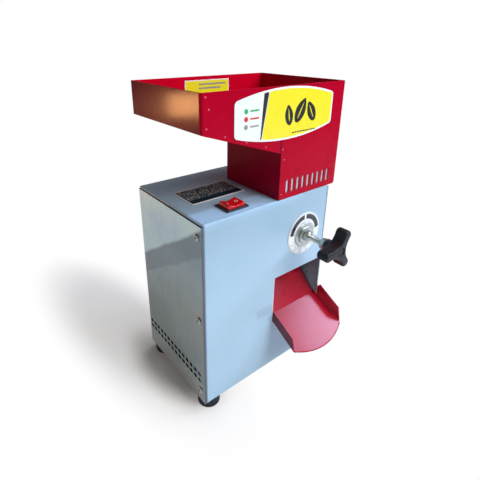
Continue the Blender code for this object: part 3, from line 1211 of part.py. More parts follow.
def make_drum():
    """Toothed drum, its shaft, and a bearing in a flanged cup at each end."""
    axis = (0.0, DRUM_Y, DRUM_Z)
    centre = (ADJUSTER_X, DRUM_Y, DRUM_Z)
    low, high = ADJUSTER_X - DRUM_LENGTH / 2, ADJUSTER_X + DRUM_LENGTH / 2
    outline = []
    for tooth in range(DRUM_TEETH):
        for share, radius in (
            (0.0, DRUM_RADIUS),
            (DRUM_TOOTH_LAND_SHARE, DRUM_RADIUS),
            (DRUM_TOOTH_LAND_SHARE, DRUM_RADIUS - DRUM_TOOTH_DEPTH),
        ):
            angle = TURN * (tooth + share) / DRUM_TEETH
            outline.append((DRUM_Y + radius * math.cos(angle), DRUM_Z + radius * math.sin(angle)))
    drum = piece("crushing_drum", prism(outline, "X", low, high), "cast_steel", origin=centre)
    cut(drum, "bore", cylinder(DRUM_CORE_RADIUS + GAP, "X", axis, low - OVERRUN, high + OVERRUN))

    journal = BEARING_BORE_RADIUS - GAP
    core_low, core_high = low - SHAFT_SHOULDER, high + SHAFT_SHOULDER
    shaft_left = PULLEY_X - PULLEY_WIDTH / 2 - GAP
    shaft_right = CHAMBER_RIGHT + CHAMBER_PLATE + CUP_FLANGE
    profile = [
        (0.0, shaft_left),
        (journal, shaft_left),
        (journal, core_low),
        (DRUM_CORE_RADIUS, core_low),
        (DRUM_CORE_RADIUS, core_high),
        (journal, core_high),
        (journal, shaft_right),
        (0.0, shaft_right),
    ]
    piece("drum_shaft", turned(profile, "X", axis), "zinc", origin=centre, smooth=True)

    sides = (
        ("left", CHAMBER_LEFT - CHAMBER_PLATE, -1.0),
        ("right", CHAMBER_RIGHT + CHAMBER_PLATE, 1.0),
    )
    pocket = BEARING_OUTER_RADIUS + GAP
    sleeve = pocket + CUP_WALL
    outer, nose = GAP + CUP_FLANGE, -(CHAMBER_PLATE + CUP_NOSE)
    floor = nose + CUP_FLOOR
    cup = [
        (pocket, outer),
        (CUP_FLANGE_RADIUS, outer),
        (CUP_FLANGE_RADIUS, GAP),
        (sleeve, GAP),
        (sleeve, nose),
        (CUP_FLOOR_HOLE_RADIUS, nose),
        (CUP_FLOOR_HOLE_RADIUS, floor),
        (pocket, floor),
    ]
    seat = floor + GAP
    shield = BEARING_SHIELD_DEPTH
    ring = [
        (BEARING_BORE_RADIUS, seat),
        (BEARING_OUTER_RADIUS, seat),
        (BEARING_OUTER_RADIUS, seat + BEARING_WIDTH),
        (BEARING_OUTER_RADIUS - BEARING_RACE, seat + BEARING_WIDTH),
        (BEARING_OUTER_RADIUS - BEARING_RACE, seat + BEARING_WIDTH - shield),
        (BEARING_BORE_RADIUS + BEARING_RACE, seat + BEARING_WIDTH - shield),
        (BEARING_BORE_RADIUS + BEARING_RACE, seat + BEARING_WIDTH),
        (BEARING_BORE_RADIUS, seat + BEARING_WIDTH),
    ]
    for side, face, outward in sides:
        placed_cup = [(radius, face + outward * along) for radius, along in cup]
        placed_ring = [(radius, face + outward * along) for radius, along in ring]
        piece(f"bearing_cup_{side}", turned(placed_cup, "X", axis), "cast_steel", smooth=True)
        piece(f"drum_bearing_{side}", turned(placed_ring, "X", axis), "zinc", smooth=True)


def chute_edge(y, lift=0.0):
    """A point (y, z) on the chute's underside, lifted square to the slope."""
    fall = CHUTE_STEEP_SHARE if y > CHUTE_BEND_Y else CHUTE_FALL_SHARE
    bend_z = CHUTE_UNDERSIDE + CHUTE_FALL_SHARE * CHUTE_BEND_Y
    z = bend_z + fall * (y - CHUTE_BEND_Y)
    length = math.hypot(1.0, fall)
    return y - lift * fall / length, z + lift / length


def make_outlet_chute():
    """Bent sheet chute: a floor with a round lip, a wall on the left and one outside on the right."""
    bm = bmesh.new()
    narrow = RIGHT_FACE - GAP

    def corner(x, y, lift=0.0):
        return bm.verts.new((x, *chute_edge(y, lift)))

    left_end, left_bend = corner(CHUTE_LEFT, CHUTE_END_Y), corner(CHUTE_LEFT, CHUTE_BEND_Y)
    left_front = corner(CHUTE_LEFT, CHUTE_WALL_FRONT_Y)
    right_end, right_bend = corner(narrow, CHUTE_END_Y), corner(narrow, CHUTE_BEND_Y)
    wide_end = corner(CHUTE_RIGHT, CHUTE_BEND_Y)
    wide_front = corner(CHUTE_RIGHT, CHUTE_WALL_FRONT_Y)
    bm.faces.new((left_end, right_end, right_bend, left_bend))

    half = (CHUTE_RIGHT - CHUTE_LEFT) / 2
    middle = (CHUTE_RIGHT + CHUTE_LEFT) / 2
    depth = CHUTE_WALL_FRONT_Y - CHUTE_LIP_FRONT_Y
    inset = CHUTE_LIP_CORNER
    reach = half - inset
    start_depth = inset / 2
    rise = depth - start_depth
    radius = (reach * reach + rise * rise) / (2 * rise)
    sweep = math.asin(reach / radius)
    centre = (middle, CHUTE_LIP_FRONT_Y + radius)
    lip = arc(centre, radius, -TURN / 4 + sweep, -TURN / 4 - sweep, CHUTE_LIP_STEPS)
    lip_verts = [bm.verts.new((x, *chute_edge(y))) for x, y in lip]
    shoulder_right = corner(CHUTE_RIGHT - inset / 4, CHUTE_WALL_FRONT_Y - start_depth / 2)
    shoulder_left = corner(CHUTE_LEFT + inset / 4, CHUTE_WALL_FRONT_Y - start_depth / 2)
    floor = [left_bend, right_bend, wide_end, wide_front, shoulder_right]
    floor += [*lip_verts, shoulder_left, left_front]
    bm.faces.new(floor)

    lift = CHUTE_WALL_HEIGHT
    knee_shift = lift * math.tan((math.atan(CHUTE_STEEP_SHARE) - math.atan(CHUTE_FALL_SHARE)) / 2)
    fall = math.atan(CHUTE_FALL_SHARE)
    knee_y, knee_z = chute_edge(CHUTE_BEND_Y)
    knee_y += -lift * math.sin(fall) - knee_shift * math.cos(fall)
    knee_z += lift * math.cos(fall) - knee_shift * math.sin(fall)
    top_left_front = corner(CHUTE_LEFT, CHUTE_WALL_TOP_FRONT_Y + lift * math.sin(fall), lift)
    top_left_knee = bm.verts.new((CHUTE_LEFT, knee_y, knee_z))
    top_left_end = corner(CHUTE_LEFT, CHUTE_END_Y, lift)
    bm.faces.new((left_bend, left_front, top_left_front, top_left_knee))
    bm.faces.new((left_end, left_bend, top_left_knee, top_left_end))
    right_lift = CHUTE_RIGHT_WALL_HEIGHT
    right_top_y = CHUTE_WALL_TOP_FRONT_Y + right_lift * math.sin(fall)
    top_right_front = corner(CHUTE_RIGHT, right_top_y, right_lift)
    top_right_end = corner(CHUTE_RIGHT, CHUTE_BEND_Y, right_lift)
    bm.faces.new((wide_front, wide_end, top_right_end, top_right_front))
    flange = [wide_end, right_bend, corner(narrow, CHUTE_BEND_Y, CHUTE_FLANGE_STEP)]
    flange += [corner(BODY_WIDTH + GAP, CHUTE_BEND_Y, step) for step in (CHUTE_FLANGE_STEP, right_lift)]
    bm.faces.new([*flange, top_right_end])
    chute = piece("outlet_chute", bm, "red_paint")
    wall = chute.modifiers.new("thickness", "SOLIDIFY")
    wall.thickness = CHUTE_SHEET
    wall.offset = 1.0
    wall.use_even_offset = True


def pulley(name, pitch, bore, centre):
    """A grooved pulley for the belt, with both faces recessed where it is large enough."""
    half = PULLEY_WIDTH / 2
    slope = (BELT_TOP_WIDTH - BELT_INNER_WIDTH) / 2 / BELT_HEIGHT
    rim = pitch + BELT_HEIGHT / 2 + RIM_RISE
    floor = pitch - BELT_HEIGHT / 2 - GROOVE_FLOOR_CLEARANCE
    mean_half = (BELT_TOP_WIDTH + BELT_INNER_WIDTH) / 4 + BELT_SIDE_CLEARANCE
    top_half = mean_half + slope * (rim - pitch)
    floor_half = mean_half + slope * (floor - pitch)
    recess_outer = floor - PULLEY_RIM_WALL
    hub = PULLEY_HUB_RADIUS
    deep = half - PULLEY_WEB_RECESS
    face = [(bore, half)]
    if recess_outer > hub + PULLEY_RIM_WALL:
        face += [(hub, half), (hub, deep), (recess_outer, deep), (recess_outer, half)]
    face += [(rim, half), (rim, top_half), (floor, floor_half)]
    profile = [(radius, centre[0] - along) for radius, along in face]
    profile += [(radius, centre[0] + along) for radius, along in reversed(face)]
    wheel = turned(profile, "X", (0.0, centre[1], centre[2]))
    piece(name, wheel, "cast_steel", origin=centre, smooth=True)


def make_belt_drive():
    """Two pulleys and the belt that runs round them."""
    drum_centre = (PULLEY_X, DRUM_Y, DRUM_Z)
    motor_centre = (PULLEY_X, MOTOR_Y, MOTOR_Z)
    pulley("drum_pulley", DRUM_PULLEY_PITCH, BEARING_BORE_RADIUS, drum_centre)
    pulley("motor_pulley", MOTOR_PULLEY_PITCH, MOTOR_SHAFT_RADIUS + GAP, motor_centre)

    across, up = DRUM_Y - MOTOR_Y, DRUM_Z - MOTOR_Z
    distance = math.hypot(across, up)
    line = math.atan2(up, across)
    tilt = math.acos((DRUM_PULLEY_PITCH - MOTOR_PULLEY_PITCH) / distance)
    section = (
        (BELT_TOP_WIDTH / 2, BELT_HEIGHT / 2),
        (-BELT_TOP_WIDTH / 2, BELT_HEIGHT / 2),
        (-BELT_INNER_WIDTH / 2, -BELT_HEIGHT / 2),
        (BELT_INNER_WIDTH / 2, -BELT_HEIGHT / 2),
    )
    drum_start, drum_end = line - (math.pi - tilt), line + (math.pi - tilt)
    motor_start, motor_end = line + (math.pi - tilt), line + (math.pi + tilt)
    wraps = (
        ((DRUM_Y, DRUM_Z), DRUM_PULLEY_PITCH, drum_start, drum_end),
        ((MOTOR_Y, MOTOR_Z), MOTOR_PULLEY_PITCH, motor_start, motor_end),
    )
    bm = bmesh.new()
    rings = []
    for (y, z), pitch, start, end in wraps:
        for i in range(BELT_ARC_STEPS + 1):
            angle = start + (end - start) * i / BELT_ARC_STEPS
            ring = []
            for side, rise in section:
                reach = pitch + rise
                place = (PULLEY_X + side, y + reach * math.cos(angle), z + reach * math.sin(angle))
                ring.append(bm.verts.new(place))
            rings.append(ring)
    for ring, following in zip(rings, rings[1:] + rings[:1]):
        for i, vert in enumerate(ring):
            after = (i + 1) % len(ring)
            bm.faces.new((vert, ring[after], following[after], following[i]))
    piece("drive_belt", bm, "rubber", smooth=True)


def make_motor():
    """Induction motor on its bracket, and its run capacitor."""
    axis = (0.0, MOTOR_Y, MOTOR_Z)
    stator = [
        (STATOR_BORE_RADIUS, STATOR_START_X),
        (MOTOR_RADIUS, STATOR_START_X),
        (MOTOR_RADIUS, STATOR_END_X),
        (STATOR_BORE_RADIUS, STATOR_END_X),
    ]
    piece("motor_stator", turned(stator, "X", axis), "cast_steel", smooth=True)

    bore = MOTOR_SHAFT_RADIUS + GAP
    skirt = MOTOR_RADIUS - BELL_WALL
    bells = (
        ("motor_rear_bell", STATOR_START_X - GAP, MOTOR_REAR_X, -1.0),
        ("motor_front_bell", STATOR_END_X + GAP, BRACKET_X - GAP, 1.0),
    )
    for name, open_end, closed_end, outward in bells:
        inside = closed_end - outward * BELL_WALL
        profile = [
            (skirt, open_end),
            (MOTOR_RADIUS, open_end),
            (MOTOR_RADIUS, closed_end - outward * BELL_EDGE),
            (MOTOR_RADIUS - BELL_EDGE, closed_end),
            (bore, closed_end),
            (bore, closed_end - outward * BELL_BOSS_LENGTH),
            (BELL_BOSS_RADIUS, closed_end - outward * BELL_BOSS_LENGTH),
            (BELL_BOSS_RADIUS, inside),
            (skirt - BELL_EDGE / 2, inside),
            (skirt, inside - outward * BELL_EDGE / 2),
        ]
        piece(name, turned(profile, "X", axis), "aluminium", smooth=True)

    core = STATOR_BORE_RADIUS - ROTOR_GAP
    core_low, core_high = STATOR_START_X + ROTOR_MARGIN, STATOR_END_X - ROTOR_MARGIN
    shaft_low = MOTOR_REAR_X + GAP
    shaft_high = PULLEY_X + PULLEY_WIDTH / 2 + GAP
    rotor = [
        (0.0, shaft_low),
        (MOTOR_SHAFT_RADIUS, shaft_low),
        (MOTOR_SHAFT_RADIUS, core_low),
        (core, core_low),
        (core, core_high),
        (MOTOR_SHAFT_RADIUS, core_high),
        (MOTOR_SHAFT_RADIUS, shaft_high),
        (0.0, shaft_high),
    ]
    origin = ((core_low + core_high) / 2, MOTOR_Y, MOTOR_Z)
    piece("motor_rotor", turned(rotor, "X", axis), "zinc", origin=origin, smooth=True)

    foot_z = SHEET + GAP
    outline = [
        (BRACKET_X, foot_z),
        (BRACKET_X + BRACKET_FOOT, foot_z),
        (BRACKET_X + BRACKET_FOOT, foot_z + BRACKET_SHEET),
        (BRACKET_X + BRACKET_SHEET, foot_z + BRACKET_SHEET),
        (BRACKET_X + BRACKET_SHEET, foot_z + BRACKET_HEIGHT),
        (BRACKET_X, foot_z + BRACKET_HEIGHT),
    ]
    front = MOTOR_Y - BRACKET_WIDTH / 2
    bracket = piece("motor_bracket", prism(outline, "Y", front, front + BRACKET_WIDTH), "cast_steel")
    hole_end = BRACKET_X + BRACKET_SHEET + OVERRUN
    hole = cylinder(BRACKET_HOLE_RADIUS, "X", axis, BRACKET_X - OVERRUN, hole_end)
    cut(bracket, "shaft_hole", hole)

    can_top = foot_z + CAPACITOR_HEIGHT
    can = [
        (0.0, foot_z),
        (CAPACITOR_RADIUS, foot_z),
        (CAPACITOR_RADIUS, can_top - CAPACITOR_EDGE),
        (CAPACITOR_RADIUS - CAPACITOR_EDGE, can_top),
        (CAPACITOR_TERMINAL_RADIUS, can_top),
        (CAPACITOR_TERMINAL_RADIUS, can_top + CAPACITOR_TERMINAL_HEIGHT),
        (0.0, can_top + CAPACITOR_TERMINAL_HEIGHT),
    ]
    centre = (CAPACITOR_X, CAPACITOR_Y, 0.0)
    piece("run_capacitor", turned(can, "Z", centre), "aluminium", smooth=True)


def make_power_inlet():
    """Appliance inlet in the back: a flange, a body behind it and a socket with three blades."""
    flange_low = BODY_DEPTH + GAP
    flange = block(
        (INLET_X - INLET_FLANGE_WIDTH / 2, flange_low, INLET_Z - INLET_FLANGE_HEIGHT / 2),
        (INLET_X + INLET_FLANGE_WIDTH / 2, INLET_FACE, INLET_Z + INLET_FLANGE_HEIGHT / 2),
    )
    bevel(flange, lambda a, b: abs(a.y - b.y) > INLET_FLANGE / 2, INLET_CORNER)
    inlet = piece("power_inlet", flange, "black_plastic")
    body = block(
        (INLET_X - INLET_BODY_WIDTH / 2, INLET_FACE - INLET_BODY_DEPTH, INLET_Z - INLET_BODY_HEIGHT / 2),
        (INLET_X + INLET_BODY_WIDTH / 2, INLET_FACE - INLET_FLANGE / 2, INLET_Z + INLET_BODY_HEIGHT / 2),
    )
    fuse(inlet, "body", body)
    socket = block(
        (INLET_X - INLET_SOCKET_WIDTH / 2, INLET_FACE - INLET_SOCKET_DEPTH, INLET_Z - INLET_SOCKET_HEIGHT / 2),
        (INLET_X + INLET_SOCKET_WIDTH / 2, INLET_FACE + OVERRUN, INLET_Z + INLET_SOCKET_HEIGHT / 2),
    )
    cut(inlet, "socket", socket)
    root = INLET_FACE - INLET_SOCKET_DEPTH
    places = ((-INLET_BLADE_PITCH, 0.0), (0.0, INLET_EARTH_DROP), (INLET_BLADE_PITCH, 0.0))
    blades = [
        block(
            (
                INLET_X + x - INLET_BLADE_WIDTH / 2,
                root - INLET_FLANGE / 2,
                INLET_Z + z - INLET_BLADE_HEIGHT / 2,
            ),
            (
                INLET_X + x + INLET_BLADE_WIDTH / 2,
                root + INLET_BLADE_LENGTH,
                INLET_Z + z + INLET_BLADE_HEIGHT / 2,
            ),
        )
        for x, z in places
    ]
    fuse(inlet, "blades", joined(blades))


def main():
    """Build every sub-part."""
    make_front_top_sheet()
    make_side_wrap()
    make_base_plate()
    make_feet()
    make_screws()
    make_hopper_front_plate()
    make_hopper_tray_wall()
    make_hopper_right_plate()
    make_hopper_floor()
    make_hopper_neck()
    make_neck_backing()
    make_throat_funnel()
    make_labels()
    make_switch()
    make_adjuster()
    make_jaw()
    make_chamber()
    make_drum()
    make_outlet_chute()
    make_belt_drive()
    make_motor()
    make_power_inlet()


main()
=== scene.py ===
"""Look of a bench-top nut crusher: sheets, hopper, adjuster, chute and switch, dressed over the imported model.

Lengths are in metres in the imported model's frame. Sizes of pieces are written in millimetres from the
body's lower front left corner and brought into that frame by Datum.
"""
from __future__ import annotations

import json
import logging
import math
from collections.abc import Callable, Sequence
from dataclasses import dataclass
from enum import Enum
from functools import partial

import bpy
from mathutils import Matrix, Vector


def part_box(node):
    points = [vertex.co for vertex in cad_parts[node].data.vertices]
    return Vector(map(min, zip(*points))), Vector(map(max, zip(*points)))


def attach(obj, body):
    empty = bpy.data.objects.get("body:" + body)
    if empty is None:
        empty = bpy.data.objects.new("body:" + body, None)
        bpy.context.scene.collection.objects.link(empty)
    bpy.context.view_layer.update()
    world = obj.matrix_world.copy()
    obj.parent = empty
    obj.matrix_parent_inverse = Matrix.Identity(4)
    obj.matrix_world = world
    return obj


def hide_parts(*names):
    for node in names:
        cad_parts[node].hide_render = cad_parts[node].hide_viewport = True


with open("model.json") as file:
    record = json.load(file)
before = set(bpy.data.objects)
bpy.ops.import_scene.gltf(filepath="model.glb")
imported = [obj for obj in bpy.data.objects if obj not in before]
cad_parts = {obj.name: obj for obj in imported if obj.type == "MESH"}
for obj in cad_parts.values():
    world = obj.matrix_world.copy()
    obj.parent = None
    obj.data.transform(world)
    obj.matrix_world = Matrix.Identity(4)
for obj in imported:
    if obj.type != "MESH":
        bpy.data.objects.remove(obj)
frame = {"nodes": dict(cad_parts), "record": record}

log = logging.getLogger("nut_crusher")

Pair = tuple[float, float]
Triple = tuple[float, float, float]
Colour = Triple
Socket = bpy.types.NodeSocket
Piece = bpy.types.Object

MM = 0.001
TURN = 2.0 * math.pi
ORIGIN = Vector((0.0, 0.0, 0.0))
BLACK: Colour = (0.0, 0.0, 0.0)
WHITE: Colour = (1.0, 1.0, 1.0)
NOISE_SPAN: Pair = (0.3, 0.7)
MERGE_DISTANCE = 1e-6
FLAT_ANGLE = 0.6


class Body(Enum):
    """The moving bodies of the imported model."""

    HOUSING = "housing"
    ADJUSTER = "adjuster"
    ROCKER = "rocker"


class Facing(Enum):
    """Which way the end of a turned piece points, as the turn that brings +Z there."""

    UP = (0.0, 0.0, 0.0)
    FRONT = (math.pi / 2, 0.0, 0.0)
    BACK = (-math.pi / 2, 0.0, 0.0)
    RIGHT = (0.0, math.pi / 2, 0.0)
    LEFT = (0.0, -math.pi / 2, 0.0)


class Blend(Enum):
    """How one colour is laid over another."""

    COVER = "MIX"
    TONE = "MULTIPLY"


@dataclass(frozen=True)
class Datum:
    """The body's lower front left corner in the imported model's frame."""

    x: float
    y: float
    z: float

    @classmethod
    def from_frame(cls) -> Datum:
        """Read the corner from the two sheets of the body."""
        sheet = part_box("front_top_sheet")[0]
        return cls(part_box("side_wrap")[0].x, sheet.y, sheet.z)

    def at(self, x: float, y: float, z: float) -> Vector:
        """Bring a place in millimetres into the frame."""
        return Vector((self.x + x * MM, self.y + y * MM, self.z + z * MM))


DATUM = Datum.from_frame()


class Nodes:
    """A node tree, with short calls for its usual nodes."""

    def __init__(self, tree: bpy.types.NodeTree) -> None:
        """Keep the tree that the nodes go into."""
        self.tree = tree

    def node(self, kind: str, **values: object) -> bpy.types.Node:
        """Add a node and set its properties or its inputs by name.

        Args:
            kind: The node's type.
            **values: Properties, or inputs with spaces written as underscores.

        Returns:
            The new node.
        """
        made = self.tree.nodes.new(kind)
        for key, value in values.items():
            if hasattr(made, key):
                setattr(made, key, value)
            else:
                made.inputs[key.replace("_", " ")].default_value = value
        return made

    def feed(self, value: Socket | Colour | float, target: Socket) -> None:
        """Link an output to an input, or set the input to a constant.

        Args:
            value: An output, a colour or a number.
            target: The input.
        """
        if isinstance(value, Socket):
            self.tree.links.new(value, target)
        else:
            target.default_value = (*value, 1.0) if isinstance(value, tuple) else value

    def math(self, operation: str, first: Socket | float, second: Socket | float = 0.0) -> Socket:
        """Work out one value from two.

        Args:
            operation: The math node's operation.
            first: An output or a number.
            second: An output or a number.

        Returns:
            The value's output.
        """
        made = self.node("ShaderNodeMath", operation=operation)
        self.feed(first, made.inputs[0])
        self.feed(second, made.inputs[1])
        return made.outputs[0]

    def product(self, *factors: Socket | float) -> Socket:
        """Multiply values, of which the first is an output.

        Args:
            *factors: Outputs or numbers.

        Returns:
            The product's output.
        """
        result = factors[0]
        for factor in factors[1:]:
            result = self.math("MULTIPLY", result, factor)
        return result

    def rescaled(self, source: Socket, before: Pair, after: Pair, **values: object) -> Socket:
        """Bring a value from one range to another, and clamp it there.

        Args:
            source: The value.
            before: The range that it comes in.
            after: The range that it goes to.
            **values: Further settings of the node.

        Returns:
            The new value's output.
        """
        limits = {"From_Min": before[0], "From_Max": before[1], "To_Min": after[0], "To_Max": after[1]}
        made = self.node("ShaderNodeMapRange", **limits, **values)
        self.feed(source, made.inputs["Value"])
        return made.outputs["Result"]

    def ramp(self, source: Socket, stops: Sequence[tuple[float, Colour]]) -> Socket:
        """Turn a value into a colour.

        Args:
            source: The value.
            stops: Place and colour of each stop, in order.

        Returns:
            The colour's output.
        """
        made = self.node("ShaderNodeValToRGB")
        elements = made.color_ramp.elements
        for index, (place, colour) in enumerate(stops):
            if index < len(elements):
                elements[index].position = place
            else:
                elements.new(place)
            elements[index].color = (*colour, 1.0)
        self.feed(source, made.inputs["Fac"])
        return made.outputs["Color"]

    def blend(
        self,
        factor: Socket | float,
        first: Socket | Colour,
        second: Socket | Colour,
        mode: Blend = Blend.COVER,
    ) -> Socket:
        """Lay one colour over another.

        Args:
            factor: Share of the second colour, as a number or an output.
            first: A colour or an output.
            second: A colour or an output.
            mode: How the second is laid over the first.

        Returns:
            The mixed colour's output.
        """
        made = self.node("ShaderNodeMix", data_type="RGBA", blend_type=mode.value)
        for index, value in ((0, factor), (6, first), (7, second)):
            self.feed(value, made.inputs[index])
        return made.outputs[2]


class NodeSheet(Nodes):
    """The nodes of one material, on object coordinates."""

    def __init__(self, name: str) -> None:
        """Start a material with its Principled shader.

        Args:
            name: Name of the material.
        """
        self.material = bpy.data.materials.new(name)
        self.material.use_nodes = True
        super().__init__(self.material.node_tree)
        self.shader = self.tree.nodes["Principled BSDF"]
        self.place = self.node("ShaderNodeTexCoord").outputs["Object"]

    def set(self, **values: object) -> None:
        """Set constant inputs of the shader, with spaces written as underscores."""
        for key, value in values.items():
            self.shader.inputs[key.replace("_", " ")].default_value = value

    def noise(self, scale: float, detail: float, stretch: Triple | None = None) -> Socket:
        """A noise pattern.

        Args:
            scale: Waves per metre.
            detail: Octaves.
            stretch: Separate scale along each axis, if any.

        Returns:
            The noise value's output.
        """
        made = self.node("ShaderNodeTexNoise", Scale=scale, Detail=detail)
        source = self.place
        if stretch:
            mapping = self.node("ShaderNodeMapping", Scale=stretch)
            self.feed(source, mapping.inputs["Vector"])
            source = mapping.outputs["Vector"]
        self.feed(source, made.inputs["Vector"])
        return made.outputs["Fac"]

    def axis(self, name: str) -> Socket:
        """One of the object coordinates.

        Args:
            name: The axis, as a capital letter.

        Returns:
            The coordinate's output, in metres.
        """
        made = self.node("ShaderNodeSeparateXYZ")
        self.feed(self.place, made.inputs["Vector"])
        return made.outputs[name]

    def above(self, name: str) -> Socket:
        """One of the object coordinates, counted from the body's corner."""
        return self.math("SUBTRACT", self.axis(name), getattr(DATUM, name.lower()))

    def within(self, name: str, low: float, high: float, soft: float) -> Socket:
        """One inside a span of an axis and zero outside, with a soft edge.

        Args:
            name: The axis.
            low: Lower end, in millimetres from the body's corner.
            high: Upper end, in the same way.
            soft: Width of the soft edge, in millimetres.

        Returns:
            The mask's output.
        """
        middle = getattr(DATUM, name.lower()) + (low + high) / 2 * MM
        half = (high - low) / 2 * MM
        spread = self.math("ABSOLUTE", self.math("SUBTRACT", self.axis(name), middle))
        return self.rescaled(spread, (half + soft * MM, half), (0.0, 1.0))

    def bump(self, height: Socket, strength: float, distance: float) -> None:
        """Raise the surface by a pattern.

        Args:
            height: The pattern.
            strength: Share of the effect.
            distance: Height of the pattern, in millimetres.
        """
        made = self.node("ShaderNodeBump", Strength=strength, Distance=distance * MM)
        self.feed(height, made.inputs["Height"])
        self.feed(made.outputs["Normal"], self.shader.inputs["Normal"])


def shaded(colour: Colour, factor: float) -> Colour:
    """A colour made lighter or darker."""
    return tuple(min(1.0, channel * factor) for channel in colour)


@dataclass(frozen=True)
class Zone:
    """A part of a surface that is toned or covered with a colour.

    Each axis that limits it has its low end, its high end and a soft edge, in millimetres.
    """

    colour: Colour
    x: Triple | None = None
    y: Triple | None = None
    z: Triple | None = None
    share: float = 1.0
    mode: Blend = Blend.COVER

    @classmethod
    def toned(cls, low: Triple, high: Triple, soft: float, tone: Colour) -> Zone:
        """A box between two corners, whose colour is multiplied by a tone."""
        return cls(tone, *((start, end, soft) for start, end in zip(low, high)), mode=Blend.TONE)

    def lay(self, sheet: NodeSheet, colour: Socket) -> Socket:
        """Lay the zone over a colour.

        Args:
            sheet: The material's nodes.
            colour: The colour's output.

        Returns:
            The new colour's output.
        """
        spans = {"X": self.x, "Y": self.y, "Z": self.z}
        masks = [sheet.within(name, *span) for name, span in spans.items() if span]
        return sheet.blend(sheet.product(*masks, self.share), colour, self.colour, self.mode)


@dataclass(frozen=True)
class Finish:
    """A surface with a colour that varies softly, a roughness that varies with it, and a fine relief."""

    name: str
    slot: str
    colour: Colour
    roughness: float
    metallic: float = 0.0
    coat: float = 0.0
    coat_roughness: float = 0.12
    specular: float = 0.5
    variation: float = 0.06
    patch: float = 18.0
    grain: float = 900.0
    relief: float = 0.02
    relief_height: float = 0.2
    grain_share: float = 0.4
    rough_spread: float = 0.2
    zones: tuple[Zone, ...] = ()

    def build(self) -> bpy.types.Material:
        """Make the finish's material.

        Returns:
            The material.
        """
        sheet = NodeSheet(self.name)
        sheet.set(Metallic=self.metallic, Coat_Weight=self.coat, Coat_Roughness=self.coat_roughness)
        sheet.set(Specular_IOR_Level=self.specular)
        colour = self.base(sheet)
        for zone in self.zones:
            colour = zone.lay(sheet, colour)
        sheet.feed(self.rubbed(sheet, colour), sheet.shader.inputs["Base Color"])
        fine = sheet.noise(self.grain, 2.0)
        broad = sheet.noise(self.patch * 2.0, 3.0)
        mixed = sheet.math(
            "ADD", sheet.product(fine, self.grain_share), sheet.product(broad, 1.0 - self.grain_share)
        )
        spread = (self.roughness * (1.0 - self.rough_spread), self.roughness * (1.0 + self.rough_spread))
        sheet.feed(sheet.rescaled(mixed, NOISE_SPAN, spread), sheet.shader.inputs["Roughness"])
        sheet.bump(fine, self.relief, self.relief_height)
        return sheet.material

    def base(self, sheet: NodeSheet) -> Socket:
        """The finish's own colour in soft lighter and darker patches.

        Args:
            sheet: The material's nodes.

        Returns:
            The colour's output.
        """
        low, high = (shaded(self.colour, 1.0 + sign * self.variation) for sign in (-1.0, 1.0))
        return sheet.ramp(sheet.noise(self.patch, 4.0), ((NOISE_SPAN[0], low), (NOISE_SPAN[1], high)))

    def rubbed(self, sheet: NodeSheet, colour: Socket) -> Socket:
        """The last layer over the colour, which a plain finish doesn't have."""
        return colour


@dataclass(frozen=True)
class BodyPaint(Finish):
    """Paint with small paler specks where it is rubbed."""

    speck_scale: float = 260.0
    speck_edge: Pair = (0.74, 0.80)
    speck_share: float = 0.35
    speck_lift: float = 1.25

    def rubbed(self, sheet: NodeSheet, colour: Socket) -> Socket:
        """Lay the specks over the paint.

        Args:
            sheet: The material's nodes.
            colour: The paint's output.

        Returns:
            The new colour's output.
        """
        start, end = self.speck_edge
        dust = sheet.ramp(sheet.noise(self.speck_scale, 6.0), ((start, BLACK), (end, WHITE)))
        share = sheet.product(dust, self.speck_share)
        return sheet.blend(share, colour, shaded(self.colour, self.speck_lift))


@dataclass(frozen=True)
class GalvanisedSteel(Finish):
    """Rolled sheet steel: soft clouds, fine streaks, and slanting bands of painted reflection on the left side.
    """

    clouds: tuple[Pair, ...] = ((0.30, 0.84), (0.52, 1.0), (0.72, 1.14))
    cloud_stretch: Triple = (1.0, 1.0, 1.6)
    streak_scale: float = 300.0
    streak_stretch: Triple = (1.0, 0.25, 0.12)
    streaks: tuple[tuple[float, Colour], ...] = ((0.35, (0.93, 0.94, 0.93)), (0.65, WHITE))
    lean: float = 0.64
    wave_scale: float = 9.0
    wave_height: float = 0.02
    # lightness of the painted reflection at each place along the slant
    tones: tuple[Pair, ...] = (
        (0.00, 0.66),
        (0.09, 0.64),
        (0.20, 0.64),
        (0.216, 0.64),
        (0.220, 0.48),
        (0.247, 0.50),
        (0.252, 1.16),
        (0.34, 1.22),
    )
    plain: float = 0.62
    # where the painted reflection bands lie
    banded_side: Triple = (-1.0, 0.8, 0.4)

    def base(self, sheet: NodeSheet) -> Socket:
        """The steel's clouds and streaks, with the painted reflection bands on its left side.

        Args:
            sheet: The material's nodes.

        Returns:
            The colour's output.
        """
        stops = [(place, shaded(self.colour, tone)) for place, tone in self.clouds]
        cloudy = sheet.ramp(sheet.noise(self.patch, 5.0, self.cloud_stretch), stops)
        streaky = sheet.ramp(sheet.noise(self.streak_scale, 3.0, self.streak_stretch), self.streaks)
        rolled = sheet.blend(1.0, cloudy, streaky, Blend.TONE)
        rolled_with_reflection = sheet.blend(1.0, rolled, self.bands(sheet), Blend.TONE)
        plain = sheet.blend(1.0, rolled, (self.plain,) * 3, Blend.TONE)
        return sheet.blend(sheet.within("X", *self.banded_side), plain, rolled_with_reflection)

    def bands(self, sheet: NodeSheet) -> Socket:
        """The slanting bands of painted reflection, by height and by distance from the front.

        Args:
            sheet: The material's nodes.

        Returns:
            The tone's output.
        """
        level = sheet.math("ADD", sheet.above("Z"), sheet.product(sheet.above("Y"), self.lean))
        wave = sheet.product(sheet.noise(self.wave_scale, 3.0), self.wave_height)
        level = sheet.math("ADD", level, sheet.math("SUBTRACT", wave, self.wave_height / 2))
        span = self.tones[-1][0]
        brightest = max(tone for _, tone in self.tones)
        stops = [(place / span, (tone / brightest,) * 3) for place, tone in self.tones]
        return sheet.ramp(sheet.math("DIVIDE", level, span), stops)


